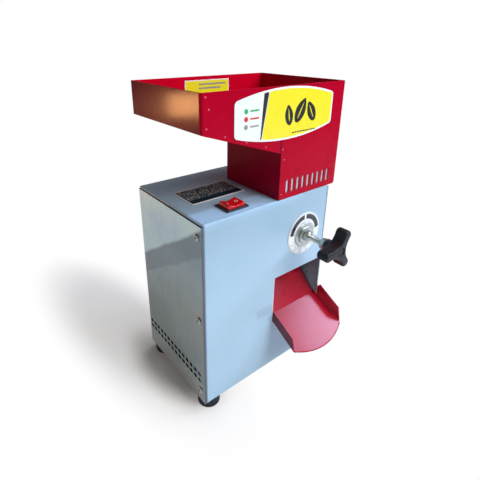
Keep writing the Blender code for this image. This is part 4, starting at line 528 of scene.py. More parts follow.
@dataclass(frozen=True)
class SpeckledPlate(Finish):
    """Black printed film with rows of pale flecks inside a plain margin."""

    flecks: Colour = (0.50, 0.53, 0.54)
    row_pitch: float = 3.4
    row_share: float = 0.6
    fleck_scale: float = 560.0
    fleck_level: float = 0.53
    across: Triple = (24.5, 96.5, 0.4)
    deep: Triple = (62.0, 93.0, 0.4)

    def base(self, sheet: NodeSheet) -> Socket:
        """The film with its rows of flecks.

        Args:
            sheet: The material's nodes.

        Returns:
            The colour's output.
        """
        rows = sheet.math("FRACT", sheet.product(sheet.axis("Y"), 1.0 / (self.row_pitch * MM)))
        row = sheet.math("LESS_THAN", rows, self.row_share)
        lit = sheet.math("GREATER_THAN", sheet.noise(self.fleck_scale, 1.0), self.fleck_level)
        field = (sheet.within("X", *self.across), sheet.within("Y", *self.deep))
        return sheet.blend(sheet.product(row, lit, *field), self.colour, self.flecks)


# near black for painted shade in the side sheet's seam below the top and in its slots
PAINTED_SHADE_BLACK: Colour = (0.006, 0.006, 0.006)
PAINT_BLUE: Colour = (0.43, 0.64, 0.80)
CRIMSON: Colour = (0.43, 0.0004, 0.019)

PAINT = BodyPaint(
    "grey_blue_paint",
    "grey_blue_paint",
    PAINT_BLUE,
    0.34,
    coat=0.1,
    specular=0.3,
    variation=0.03,
    relief=0.012,
    zones=(
        # painted shade darkens the top and the front's upper part, then painted light brightens the top's front
        # part
        Zone.toned((-10.0, -10.0, 245.0), (220.0, 160.0, 300.0), 95.0, (0.80, 0.82, 0.83)),
        Zone.toned((-5.0, 6.0, 253.0), (150.0, 26.0, 260.0), 8.0, (1.35, 1.45, 1.55)),
        # a faint square where something was stuck, painted shade on the bend on the left, and a painted
        # highlight on the outlet's edge
        Zone(shaded(PAINT_BLUE, 0.78), (83.0, 111.0, 0.6), (-1.0, 0.8, 0.2), (92.5, 105.5, 0.6), share=0.55),
        Zone((0.16, 0.17, 0.26), (-2.0, 2.6, 1.8), (-2.0, 1.2, 0.4), share=0.5),
        Zone((0.86, 0.80, 0.86), (111.2, 112.2, 0.2), (-2.0, 1.2, 0.4), (76.0, 145.4, 0.5)),
    ),
)
STEEL = GalvanisedSteel(
    "galvanised_side",
    "brushed_steel",
    (0.80, 0.98, 1.0),
    0.30,
    metallic=0.65,
    patch=7.0,
    zones=(
        # painted shade on the right side's inner face, then a painted reflection brightening the left side's
        # upper half
        Zone.toned((202.4, 0.0, 60.0), (203.7, 90.0, 150.0), 0.1, (0.45, 1.10, 1.20)),
        Zone.toned((-5.0, -10.0, 175.0), (3.0, 160.0, 300.0), 45.0, (1.02, 1.12, 1.22)),
        # painted shade in the seam below the top, a painted reflection paling the foot, painted shade in the
        # slots' depth and on the front edge
        Zone(PAINTED_SHADE_BLACK, z=(252.0, 254.0, 0.3)),
        Zone((0.80, 0.80, 0.78), z=(-5.0, 27.0, 4.0), share=0.3),
        Zone(PAINTED_SHADE_BLACK, (0.35, 204.65, 0.001), (0.0, 145.5, 0.1), (27.5, 46.0, 0.2)),
        Zone((0.16, 0.17, 0.20), (-1.0, 3.0, 0.1), (-1.0, 1.4, 0.3)),
    ),
)
RED = Finish(
    "crimson_paint",
    "red_paint",
    CRIMSON,
    0.26,
    specular=0.06,
    variation=0.05,
    relief=0.015,
    # painted shade on the neck's left face
    zones=(Zone.toned((108.0, -5.0, 250.0), (110.4, 105.0, 330.0), 0.4, (0.5, 1.0, 0.9)),),
)
TRAY_RED = Finish(
    "crimson_tray",
    "red_paint",
    CRIMSON,
    0.26,
    coat=0.3,
    coat_roughness=0.13,
    specular=0.05,
    variation=0.05,
    relief=0.015,
    zones=(
        # painted light on the back wall, then painted shade on the left wall's outer face
        Zone.toned((14.0, 118.0, 350.0), (230.0, 160.0, 400.0), 12.0, (1.4, 1.2, 1.0)),
        Zone.toned((-3.0, -10.0, 300.0), (3.0, 200.0, 400.0), 0.5, (0.45, 1.0, 0.5)),
    ),
)
CHUTE_RED = Finish(
    "crimson_gloss",
    "red_paint",
    (0.44, 0.001, 0.020),
    0.30,
    coat=0.5,
    coat_roughness=0.24,
    specular=0.25,
    variation=0.05,
    relief=0.015,
    zones=(
        # painted shade on the left wall's outer face, then on the right wall's inner face
        Zone.toned((100.0, -80.0, 0.0), (113.0, 20.0, 200.0), 0.3, (0.30, 0.5, 0.7)),
        Zone.toned((202.6, -60.0, 60.0), (203.6, 10.0, 130.0), 0.3, (0.45, 0.6, 0.8)),
    ),
)
# the spot weld marks' paler red is a painted highlight
PAINTED_HIGHLIGHT_RED = Finish("painted_highlight_red", "red_paint", (0.68, 0.14, 0.20), 0.34, coat=0.1, variation=0.2, patch=300.0)
ZINC = Finish("bright_zinc", "zinc", (0.54, 0.59, 0.56), 0.34, metallic=0.9, variation=0.05, patch=60.0)
BLADE_METAL = Finish("nickel_blade", "zinc", (0.70, 0.69, 0.66), 0.22, metallic=1.0)
DARK_STEEL = Finish(
    "machined_steel", "cast_steel", (0.20, 0.20, 0.21), 0.42, metallic=0.9, variation=0.15, patch=60.0
)
PALE_SHEET = Finish(
    "pale_sheet", "light_sheet", (0.62, 0.70, 0.78), 0.38, metallic=0.15, variation=0.08, patch=40.0
)
ALUMINIUM = Finish("cast_aluminium", "aluminium", (0.55, 0.55, 0.56), 0.45, metallic=0.9, relief=0.08)
KNOB_PLASTIC = Finish(
    "knob_plastic", "black_plastic", (0.010, 0.012, 0.017), 0.38, specular=0.3, variation=0.2, relief=0.05
)
BLACK_PLASTIC = Finish(
    "switch_plastic", "black_plastic", (0.016, 0.020, 0.030), 0.3, variation=0.15, relief=0.03
)
RED_PLASTIC = Finish("rocker_plastic", "red_plastic", (0.72, 0.006, 0.012), 0.18, coat=0.4, variation=0.05)
RUBBER = Finish(
    "foot_rubber", "rubber", (0.016, 0.020, 0.030), 0.62, specular=0.3, variation=0.25, relief=0.1
)
LABEL_WHITE = Finish("film_white", "label_white", (0.86, 0.93, 0.95), 0.3, coat=0.3, variation=0.02)
LABEL_YELLOW = Finish("film_yellow", "label_yellow", (0.90, 0.82, 0.02), 0.3, coat=0.3, variation=0.02)
LABEL_BLACK = Finish("film_black", "label_black", (0.016, 0.018, 0.020), 0.32, coat=0.3, variation=0.1)
PLATE_FILM = SpeckledPlate("film_speckled", "label_black", (0.003, 0.020, 0.032), 0.5, specular=0.08)
INK_GREY = Finish("ink_grey", "label_black", (0.30, 0.31, 0.28), 0.4)
INK_WHITE = Finish("ink_white", "label_white", (0.85, 0.85, 0.85), 0.35)
INK_RED = Finish("ink_red", "label_black", (0.72, 0.03, 0.02), 0.35)
INK_GREEN = Finish("ink_green", "label_black", (0.05, 0.42, 0.16), 0.35)


class Paintbox:
    """Makes each finish's material once."""

    def __init__(self) -> None:
        """Start with no materials."""
        self.made: dict[str, bpy.types.Material] = {}

    def get(self, finish: Finish) -> bpy.types.Material:
        """The material of a finish.

        Args:
            finish: The finish.

        Returns:
            Its material, made when it is first asked for.
        """
        if finish.name not in self.made:
            self.made[finish.name] = finish.build()
        return self.made[finish.name]


PAINTBOX = Paintbox()


def deselect() -> None:
    """Leave nothing selected, in object mode."""
    active = bpy.context.view_layer.objects.active
    if active and active.mode != "OBJECT":
        bpy.ops.object.mode_set(mode="OBJECT")
    bpy.ops.object.select_all(action="DESELECT")


def choose(piece: Piece) -> None:
    """Select one piece alone and make it active.

    Args:
        piece: The piece.
    """
    deselect()
    piece.select_set(True)
    bpy.context.view_layer.objects.active = piece


def settle(piece: Piece) -> Piece:
    """Move a piece's place, turn and scale into its mesh.

    Args:
        piece: The piece.

    Returns:
        The piece.
    """
    choose(piece)
    bpy.ops.object.transform_apply(location=True, rotation=True, scale=True)
    return piece


def moved(piece: Piece, place: Vector, turn: Triple = Facing.UP.value) -> Piece:
    """Turn a piece about the origin, bring it to its place and settle it there.

    Args:
        piece: The piece.
        place: Its place.
        turn: Its turn about each axis, in radians.

    Returns:
        The piece.
    """
    piece.rotation_euler = turn
    piece.location = place
    return settle(piece)


def edit_all(piece: Piece, *steps: Callable[[], object]) -> Piece:
    """Run edit mode steps with the whole piece selected.

    Args:
        piece: The piece.
        *steps: Calls to run in order.

    Returns:
        The piece.
    """
    choose(piece)
    bpy.ops.object.mode_set(mode="EDIT")
    bpy.ops.mesh.select_all(action="SELECT")
    for step in steps:
        step()
    bpy.ops.object.mode_set(mode="OBJECT")
    return piece


def point_outwards(piece: Piece) -> Piece:
    """Turn all faces outwards."""
    return edit_all(piece, partial(bpy.ops.mesh.normals_make_consistent, inside=False))


def modified(piece: Piece, kind: str, **values: object) -> Piece:
    """Add a modifier to a piece and apply it.

    Args:
        piece: The piece.
        kind: The modifier's type.
        **values: Its settings.

    Returns:
        The piece.
    """
    modifier = piece.modifiers.new(kind.lower(), kind)
    for key, value in values.items():
        setattr(modifier, key, value)
    choose(piece)
    bpy.ops.object.modifier_apply(modifier=modifier.name)
    return piece


def block(low: Vector, high: Vector) -> Piece:
    """A box between two corners, for shaping further.

    Args:
        low: Lower corner.
        high: Upper corner.

    Returns:
        The box.
    """
    deselect()
    bpy.ops.mesh.primitive_cube_add(size=1.0, location=(low + high) / 2)
    piece = bpy.context.active_object
    piece.scale = high - low
    return settle(piece)


def disc(vertices: int, radius: float, fill: str = "NGON", rise: float = 0.0) -> Piece:
    """A flat disc or ring about the Z axis, for shaping further.

    Args:
        vertices: Points of its rim.
        radius: Its radius, in metres.
        fill: How it is filled.
        rise: Its height, in metres.

    Returns:
        The disc.
    """
    deselect()
    bpy.ops.mesh.primitive_circle_add(vertices=vertices, radius=radius, fill_type=fill, location=(0, 0, rise))
    return bpy.context.active_object


def turned(
    profile: Sequence[Pair], centre: Vector = ORIGIN, facing: Facing = Facing.UP, steps: int = 64
) -> Piece:
    """Grow a round piece ring by ring from a disc.

    Args:
        profile: Radius and distance along the axis of each ring, in millimetres.
        centre: Where the axis starts.
        facing: Which way the piece grows.
        steps: Sides of each ring.

    Returns:
        The piece.
    """
    radius, along = (value * MM for value in profile[0])
    piece = disc(steps, radius, rise=along)
    bpy.ops.object.mode_set(mode="EDIT")
    bpy.ops.mesh.select_all(action="SELECT")
    for next_radius, next_along in profile[1:]:
        rise = next_along * MM - along
        bpy.ops.mesh.extrude_region_move(TRANSFORM_OT_translate={"value": (0.0, 0.0, rise)})
        along += rise
        factor = next_radius * MM / radius
        if abs(factor - 1.0) > 1e-9:
            bpy.ops.transform.resize(value=(factor, factor, 1.0), center_override=(0.0, 0.0, along))
            radius *= factor
    bpy.ops.object.mode_set(mode="OBJECT")
    return point_outwards(moved(settle(piece), centre, facing.value))


def outline_solid(points: Sequence[Vector], depth: Vector) -> Piece:
    """A flat outline with a thickness, from a disc whose rim is moved to the outline.

    Args:
        points: The outline, in order.
        depth: Direction and length of the thickness.

    Returns:
        The piece.
    """
    piece = disc(len(points), MM)
    for vertex, point in zip(piece.data.vertices, points):
        vertex.co = point
    edit_all(piece, partial(bpy.ops.mesh.extrude_region_move, TRANSFORM_OT_translate={"value": depth}))
    return point_outwards(piece)


def carve(target: Piece, tool: Piece, operation: str = "DIFFERENCE") -> Piece:
    """Cut, join or keep the overlap of a piece and a tool, and remove the tool.

    Args:
        target: The piece.
        tool: The other solid.
        operation: Blender's Boolean operation.

    Returns:
        The piece.
    """
    modified(target, "BOOLEAN", operation=operation, solver="EXACT", object=tool)
    bpy.data.objects.remove(tool, do_unlink=True)
    return target


def bored(
    piece: Piece,
    radius: float,
    span: Pair,
    centre: Vector = ORIGIN,
    facing: Facing = Facing.UP,
    steps: int = 48,
) -> Piece:
    """Cut a round hole.

    Args:
        piece: The piece.
        radius: The hole's radius, in millimetres.
        span: Where the hole starts and ends along its axis, in millimetres.
        centre: Where the axis starts.
        facing: Which way the axis points.
        steps: Sides of the hole.

    Returns:
        The piece.
    """
    start, end = span
    return carve(piece, turned(((radius, start), (radius, end)), centre, facing, steps))


def smooth(piece: Piece, angle: float = 32.0) -> Piece:
    """Shade a piece smooth.

    Args:
        piece: The piece.
        angle: Least angle of an edge that stays sharp, in degrees.

    Returns:
        The piece.
    """
    choose(piece)
    bpy.ops.object.shade_smooth_by_angle(angle=math.radians(angle))
    return piece


def soften(
    piece: Piece,
    width: float,
    segments: int = 3,
    angle: float = 30.0,
    crease: float = 32.0,
    weighted: bool = True,
) -> Piece:
    """Round a piece's edges and shade it smooth.

    Args:
        piece: The piece.
        width: Width of the rounding, in millimetres.
        segments: Steps across it.
        angle: Least angle of an edge that is rounded, in degrees.
        crease: Least angle of an edge that stays sharp in the shading, in degrees.
        weighted: Whether large faces keep their own direction in the shading.

    Returns:
        The piece.
    """
    limit = {"limit_method": "ANGLE", "angle_limit": math.radians(angle)}
    modified(piece, "BEVEL", width=width * MM, segments=segments, harden_normals=False, **limit)
    smooth(piece, crease)
    if weighted:
        modified(piece, "WEIGHTED_NORMAL", keep_sharp=True, weight=100)
    return piece


def merged(node: str) -> Piece:
    """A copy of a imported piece, merged at its seams and with its flat faces joined again.

    Args:
        node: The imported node.

    Returns:
        The copy.
    """
    piece = bpy.data.objects.new(f"{node}_fine", frame["nodes"][node].data.copy())
    bpy.context.scene.collection.objects.link(piece)
    piece.data.materials.clear()
    return edit_all(
        piece,
        partial(bpy.ops.mesh.remove_doubles, threshold=MERGE_DISTANCE),
        partial(bpy.ops.mesh.dissolve_limited, angle_limit=math.radians(FLAT_ANGLE)),
    )


def refined(node: str, width: float, segments: int = 2) -> Piece:
    """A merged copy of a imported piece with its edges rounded."""
    return soften(merged(node), width, segments)


def joined(pieces: Sequence[Piece]) -> Piece:
    """Join several pieces into one.

    Args:
        pieces: The pieces.

    Returns:
        The first of them, which holds them all.
    """
    deselect()
    for piece in pieces:
        piece.select_set(True)
    bpy.context.view_layer.objects.active = pieces[0]
    if len(pieces) > 1:
        bpy.ops.object.join()
    return pieces[0]


def dress(piece: Piece, name: str, finish: Finish, *nodes: str, body: Body = Body.HOUSING) -> Piece:
    """Name a finished piece, give it its material and say what it rides on.

    Args:
        piece: The piece.
        name: Its name.
        finish: Its finish, which has the record's material slot.
        *nodes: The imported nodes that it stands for.
        body: The body that it moves with.

    Returns:
        The piece.
    """
    piece.name = name
    piece.data.name = name
    piece.data.materials.clear()
    piece.data.materials.append(PAINTBOX.get(finish))
    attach(piece, body.value)
    if nodes:
        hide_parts(*nodes)
    log.info("%s rides on %s", name, body.value)
    return piece


def rotated(point: Pair, angle: float) -> Pair:
    """A point turned about the origin, angle in radians."""
    cosine, sine = math.cos(angle), math.sin(angle)
    return point[0] * cosine - point[1] * sine, point[0] * sine + point[1] * cosine


def arc_points(centre: Pair, radius: float, start: float, end: float, steps: int) -> list[Pair]:
    """Points of an arc, with both ends, angles in radians."""
    angles = [start + (end - start) * i / steps for i in range(steps + 1)]
    return [(centre[0] + radius * math.cos(a), centre[1] + radius * math.sin(a)) for a in angles]


def rounded_corner(point: Pair, before: Pair, after: Pair, radius: float) -> list[Pair]:
    """A curve in the place of a corner.

    Args:
        point: The corner.
        before: A point towards which the curve starts.
        after: A point towards which it ends.
        radius: Reach of the curve to both sides.

    Returns:
        The curve's points.
    """
    here = Vector(point)
    start = here + (Vector(before) - here).normalized() * radius
    end = here + (Vector(after) - here).normalized() * radius
    steps = 6
    curve = []
    for t in (step / steps for step in range(steps + 1)):
        place = start * (1 - t) ** 2 + here * 2 * t * (1 - t) + end * t ** 2
        curve.append((place.x, place.y))
    return curve


@dataclass
class SheetBody:
    """The two folded sheets of the body and the plate below, with finer edges."""

    edge: float = 0.22
    side_edge: float = 0.16

    def build(self) -> None:
        """Make the sheets."""
        dress(refined("front_top_sheet", self.edge), "front_and_top_sheet", PAINT, "front_top_sheet")
        dress(refined("side_wrap", self.side_edge), "side_and_back_sheet", STEEL, "side_wrap")
        dress(refined("base_plate", self.edge), "bottom_sheet", STEEL, "base_plate")


@dataclass
class CrossScrew:
    """A pan head screw with a cross recess."""

    radius: float = 4.2
    height: float = 2.3
    recess_length: float = 4.6
    recess_width: float = 1.0
    recess_depth: float = 1.5
    edge: float = 0.12
    dome: tuple[Pair, ...] = (
        (0.96, 0.0),
        (1.0, 0.12),
        (0.99, 0.35),
        (0.93, 0.60),
        (0.80, 0.82),
        (0.58, 0.95),
        (0.25, 1.0),
    )

    def head(self, seat: Vector, facing: Facing, spin: float) -> Piece:
        """Make one head.

        Args:
            seat: Centre of the face that the head sits on.
            facing: Which way the head points.
            spin: Turn of the cross, in degrees.

        Returns:
            The head.
        """
        piece = turned([(self.radius * out, self.height * up) for out, up in self.dome], steps=32)
        half = Vector((self.recess_length / 2, self.recess_width / 2, 0.0)) * MM
        low = Vector((0.0, 0.0, (self.height - self.recess_depth) * MM)) - half
        high = Vector((0.0, 0.0, (self.height + 1.0) * MM)) + half
        for turn in (0.0, 90.0):
            carve(piece, moved(block(low, high), ORIGIN, (0.0, 0.0, math.radians(turn + spin))))
        return moved(soften(piece, self.edge, 1, 50.0), seat, facing.value)


@dataclass
class Screws:
    """All the visible screws: the level's name, its height and the turn of the cross."""

    side_y: float = 10.0
    seat_gap: float = 0.3
    body_width: float = 205.0
    left: tuple[tuple[str, float, float], ...] = (
        ("low", 17.5, 20.0),
        ("middle", 127.5, 62.0),
        ("high", 237.5, 35.0),
    )
    right: tuple[tuple[str, float, float], ...] = (
        ("low", 17.5, 50.0),
        ("middle", 160.0, 12.0),
        ("high", 237.5, 75.0),
    )
    top_spin: float = 30.0

    def build(self) -> None:
        """Make the screws of the side sheet and of the hopper."""
        shape = CrossScrew()
        for side, places, facing, x in (
            ("left", self.left, Facing.LEFT, -self.seat_gap),
            ("right", self.right, Facing.RIGHT, self.body_width + self.seat_gap),
        ):
            for level, z, spin in places:
                node = f"panel_screw_{side}_{level}"
                dress(shape.head(DATUM.at(x, self.side_y, z), facing, spin), f"{node}_head", ZINC, node)
        for node in ("hopper_screw_front", "hopper_screw_rear"):
            low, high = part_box(node)
            seat = Vector(((low.x + high.x) / 2, (low.y + high.y) / 2, high.z - shape.height * MM))
            dress(shape.head(seat, Facing.UP, self.top_spin), f"{node}_head", ZINC, node)


@dataclass
class Feet:
    """Four moulded rubber feet."""

    profile: tuple[Pair, ...] = (
        (13.0, 0.0),
        (14.0, 0.25),
        (14.6, 0.9),
        (14.75, 2.0),
        (14.95, 6.5),
        (15.15, 11.0),
        (15.3, 12.3),
        (15.1, 13.1),
        (14.5, 13.6),
        (3.0, 13.7),
    )

    def build(self) -> None:
        """Make the feet in their places."""
        for node in ("foot_front_left", "foot_front_right", "foot_rear_left", "foot_rear_right"):
            low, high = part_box(node)
            centre = Vector(((low.x + high.x) / 2, (low.y + high.y) / 2, low.z))
            dress(smooth(turned(self.profile, centre), 40.0), f"{node}_moulded", RUBBER, node)


@dataclass
class Hopper:
    """The hopper's sheets with finer edges, the seams between them and the marks of the spot welds."""

    edge: float = 0.25
    inner_edge: float = 0.2
    weld_profile: tuple[Pair, ...] = ((0.9, -0.1), (0.9, 0.02), (0.54, 0.14))
    front_welds: tuple[Pair, ...] = (
        (7.5, 383.5),
        (11.0, 372.0),
        (8.0, 354.0),
        (30.0, 343.5),
        (58.0, 334.0),
        (86.0, 324.5),
        (112.5, 317.5),
        (115.5, 305.0),
        (114.0, 262.0),
    )
    seams: tuple[tuple[Triple, Triple], ...] = (
        ((2.3, 2.9, 348.6), (3.3, 3.4, 387.4)),
        ((212.3, 1.1, 255.6), (213.3, 1.6, 387.4)),
        ((211.8, 148.4, 349.0), (212.3, 149.4, 387.4)),
        ((3.3, 3.4, 348.5), (4.3, 147.4, 349.5)),
    )

    def build(self) -> None:
        """Make the seams, the sheets and the weld marks."""
        strips = [block(DATUM.at(*low), DATUM.at(*high)) for low, high in self.seams]
        dress(joined(strips), "seam_welds", RED)
        for node, name, finish, edge in (
            ("hopper_front_plate", "hopper_front", RED, self.edge),
            ("hopper_right_plate", "hopper_right", RED, self.edge),
            ("hopper_floor", "hopper_slopes", RED, self.edge),
            ("hopper_neck", "hopper_neck_wall", RED, self.edge),
            ("hopper_tray_wall", "hopper_left_and_back", TRAY_RED, self.edge),
            ("throat_funnel", "throat_guide", PALE_SHEET, self.inner_edge),
            ("neck_backing", "slot_backing", PALE_SHEET, self.inner_edge),
        ):
            dress(refined(node, edge), name, finish, node)
        seats = [DATUM.at(x, 0.0, z) for x, z in self.front_welds]
        marks = [turned(self.weld_profile, seat, Facing.FRONT, 16) for seat in seats]
        # the weld marks carry a painted highlight in their paler red
        dress(smooth(joined(marks), 60.0), "spot_weld_marks", PAINTED_HIGHLIGHT_RED)


@dataclass(frozen=True)
class Kernel:
    """A kernel of the printed picture: its place, the length and width of it and its vein, and its turn."""

    x: float
    z: float
    size: Pair
    vein: Pair
    turn: float
    taper: float = 0.45
    taper_power: float = 1.5

    def outline(self, size: Pair) -> list[Pair]:
        """Outline of an almond, pointed at one end.

        Args:
            size: Its length and width.

        Returns:
            The outline.
        """
        steps = 28
        points = []
        for angle in (TURN * step / steps for step in range(steps)):
            narrowing = 1.0 - self.taper * max(0.0, math.cos(angle)) ** self.taper_power
            along, across = math.cos(angle) * size[0] / 2, math.sin(angle) * size[1] / 2 * narrowing
            u, v = rotated((along, across), math.radians(self.turn))
            points.append((self.x + u, self.z + v))
        return points


@dataclass
class HopperLabel:
    """Barrel-shaped film on the hopper's front: a plain picture of kernels on yellow beside a white field."""

    centre_x: float = 116.5
    centre_z: float = 357.8
    width: float = 151.0
    side: float = 36.4
    height: float = 57.6
    border: float = 2.2
    back: float = -0.3
    thickness: float = 0.4
    print_rise: float = 0.05
    corner: float = 4.0
    yellow_corner: float = 2.8
    corner_clearance: float = 1.02
    split_x: float = 78.0
    split_lean: float = 9.0
    band: float = 5.0
    band_gap: float = 0.8
    kernels: tuple[Kernel, ...] = (
        Kernel(20.0, 1.5, (29.0, 15.5), (20.0, 1.5), 62.0),
        Kernel(38.0, -1.0, (25.0, 13.5), (17.0, 1.4), 118.0),
        Kernel(1.5, -2.0, (23.0, 12.5), (15.0, 1.3), 100.0),
    )
    dash_start: Pair = (8.0, -23.0)
    dash: Pair = (3.4, 1.4)
    dash_pitch: float = 4.4
    dash_count: int = 9
    dot_radius: float = 2.6
    dot_left: float = 22.0
    stripe: tuple[float, float, float] = (16.5, 4.5, 0.9)

    def edge_z(self, x: float, inset: float) -> float:
        """Half height of the film at a distance from its middle, less a border.

        Args:
            x: The distance.
            inset: The border.

        Returns:
            The half height.
        """
        half = self.width / 2
        rise = (self.height - self.side) / 2
        radius = (half * half + rise * rise) / (2 * rise)
        return self.side / 2 + rise - radius + math.sqrt(radius * radius - x * x) - inset

    def field(self, left: float, right: float, inset: float, leans: Pair = (0.0, 0.0)) -> list[Pair]:
        """Outline of a field between two sides, in millimetres from the middle.

        Args:
            left: Left side at the middle height.
            right: Right side at the middle height.
            inset: Border kept at the top and bottom.
            leans: Lean of the left and of the right side, from top to bottom.

        Returns:
            The outline.
        """
        steps = 24
        top, bottom = [], []
        for share in (step / steps for step in range(steps + 1)):
            x_top = (left + leans[0] / 2) * (1 - share) + (right + leans[1] / 2) * share
            x_low = (left - leans[0] / 2) * (1 - share) + (right - leans[1] / 2) * share
            top.append((x_top, self.edge_z(x_top, inset)))
            bottom.append((x_low, -self.edge_z(x_low, inset)))
        return list(reversed(top)) + bottom

    def rounded(self, outline: list[Pair], radius: float) -> list[Pair]:
        """Round the four corners of a field whose top and bottom are curved.

        Args:
            outline: The field's outline.
            radius: Reach of each rounding.

        Returns:
            The rounded outline.
        """
        half = len(outline) // 2
        corners = (outline[0], outline[half - 1], outline[half], outline[-1])
        top_right, top_left, low_left, low_right = corners
        clear = radius * self.corner_clearance

        def kept(points: list[Pair]) -> list[Pair]:
            """The points that lie clear of every corner."""
            return [point for point in points if min(math.dist(point, end) for end in corners) > clear]

        top, low = kept(outline[:half]), kept(outline[half:])
        return [
            *rounded_corner(top_right, low_right, top[0], radius),
            *top,
            *rounded_corner(top_left, top[-1], low_left, radius),
            *rounded_corner(low_left, top_left, low[0], radius),
            *low,
            *rounded_corner(low_right, low[-1], top_right, radius),
        ]

    def film(self, outline: Sequence[Pair], layer: int) -> Piece:
        """A flat field of the label.

        Args:
            outline: Its outline in millimetres from the label's middle.
            layer: Nought for the film itself, and one or more for the layers printed over it.

        Returns:
            The field.
        """
        level = self.thickness + (layer - 1) * self.print_rise if layer else 0.0
        depth = self.print_rise if layer else self.thickness
        points = [DATUM.at(self.centre_x + x, self.back - level, self.centre_z + z) for x, z in outline]
        return outline_solid(points, Vector((0.0, -depth * MM, 0.0)))

    def build(self) -> None:
        """Make the film and its print."""
        half = self.width / 2
        inner = half - self.border
        split = self.split_x - self.centre_x
        lean = self.split_lean
        base = self.film(self.rounded(self.field(-half, half, 0.0), self.corner), 0)
        dress(soften(base, 0.08, 1, 60.0), "hopper_film", LABEL_WHITE, "hopper_label")
        yellow = self.field(split + self.band, inner, self.border, (lean, 0.0))
        dress(self.film(self.rounded(yellow, self.yellow_corner), 1), "hopper_film_yellow", LABEL_YELLOW)
        band = self.field(split, split + self.band - self.band_gap, self.border, (lean * 0.4, lean))
        dress(self.film(band, 1), "hopper_film_band", LABEL_BLACK)
        kernels = [self.film(kernel.outline(kernel.size), 2) for kernel in self.kernels]
        dress(joined(kernels), "hopper_film_kernels", LABEL_BLACK)
        veins = [self.film(kernel.outline(kernel.vein), 3) for kernel in self.kernels]
        dress(joined(veins), "hopper_film_veins", LABEL_YELLOW)
        self.dashes()
        self.marks(split)

    def dashes(self) -> None:
        """Make the row of short dashes under the kernels."""
        low = self.dash_start[1]
        high = low + self.dash[1]
        bars = []
        for index in range(self.dash_count):
            left = self.dash_start[0] + self.dash_pitch * index
            right = left + self.dash[0]
            bars.append(self.film([(left, high), (left, low), (right, low), (right, high)], 2))
        dress(joined(bars), "hopper_film_dashes", LABEL_BLACK)

    def marks(self, split: float) -> None:
        """Make the coloured dots of the white field, each with its stripe.

        Args:
            split: Where the white field ends.
        """
        left, right, half = split - self.stripe[0], split - self.stripe[1], self.stripe[2]
        for finish, word, z in ((INK_GREEN, "green", 8.0), (INK_RED, "red", 0.0), (INK_GREY, "grey", -8.0)):
            dot = arc_points((split - self.dot_left, z), self.dot_radius, 0.0, TURN * 23 / 24, 23)
            stripe = [(left, z - half), (right, z - half), (right, z + half), (left, z + half)]
            dress(joined([self.film(dot, 1), self.film(stripe, 1)]), f"hopper_film_{word}_mark", finish)


@dataclass
class SmallPlates:
    """The film inside the tray and the black plate on the body's top."""

    tray_border: float = 1.2
    print_rise: float = 0.05
    plate_border: float = 1.5
    bars: tuple[Triple, ...] = ((0.30, 0.92, 0.66), (0.30, 0.80, 0.40))
    bar_height: float = 2.2

    def build(self) -> None:
        """Make both."""
        rise = self.print_rise * MM
        low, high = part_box("tray_label")
        dress(soften(block(low, high), 0.08, 1, 60.0), "tray_film", LABEL_WHITE, "tray_label")
        margin = self.tray_border * MM
        field_low = Vector((low.x + margin, low.y - rise, low.z + margin))
        field_high = Vector((high.x - margin, low.y + rise / 2, high.z - margin))
        dress(block(field_low, field_high), "tray_film_yellow", LABEL_YELLOW)
        size = high - low
        bars = []
        for start, end, up in self.bars:
            z = low.z + size.z * up
            first = Vector((low.x + size.x * start, low.y - 2 * rise, z))
            last = Vector((low.x + size.x * end, low.y, z + self.bar_height * MM))
            bars.append(block(first, last))
        dress(joined(bars), "tray_film_bars", INK_GREY)

        low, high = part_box("top_plate")
        dress(soften(block(low, high), 0.12, 2, 60.0), "top_plate_rim", INK_WHITE, "top_plate")
        margin = self.plate_border * MM
        field_low = Vector((low.x + margin, low.y + margin, high.z - rise))
        field_high = Vector((high.x - margin, high.y - margin, high.z + rise))
        dress(block(field_low, field_high), "top_plate_film", PLATE_FILM)


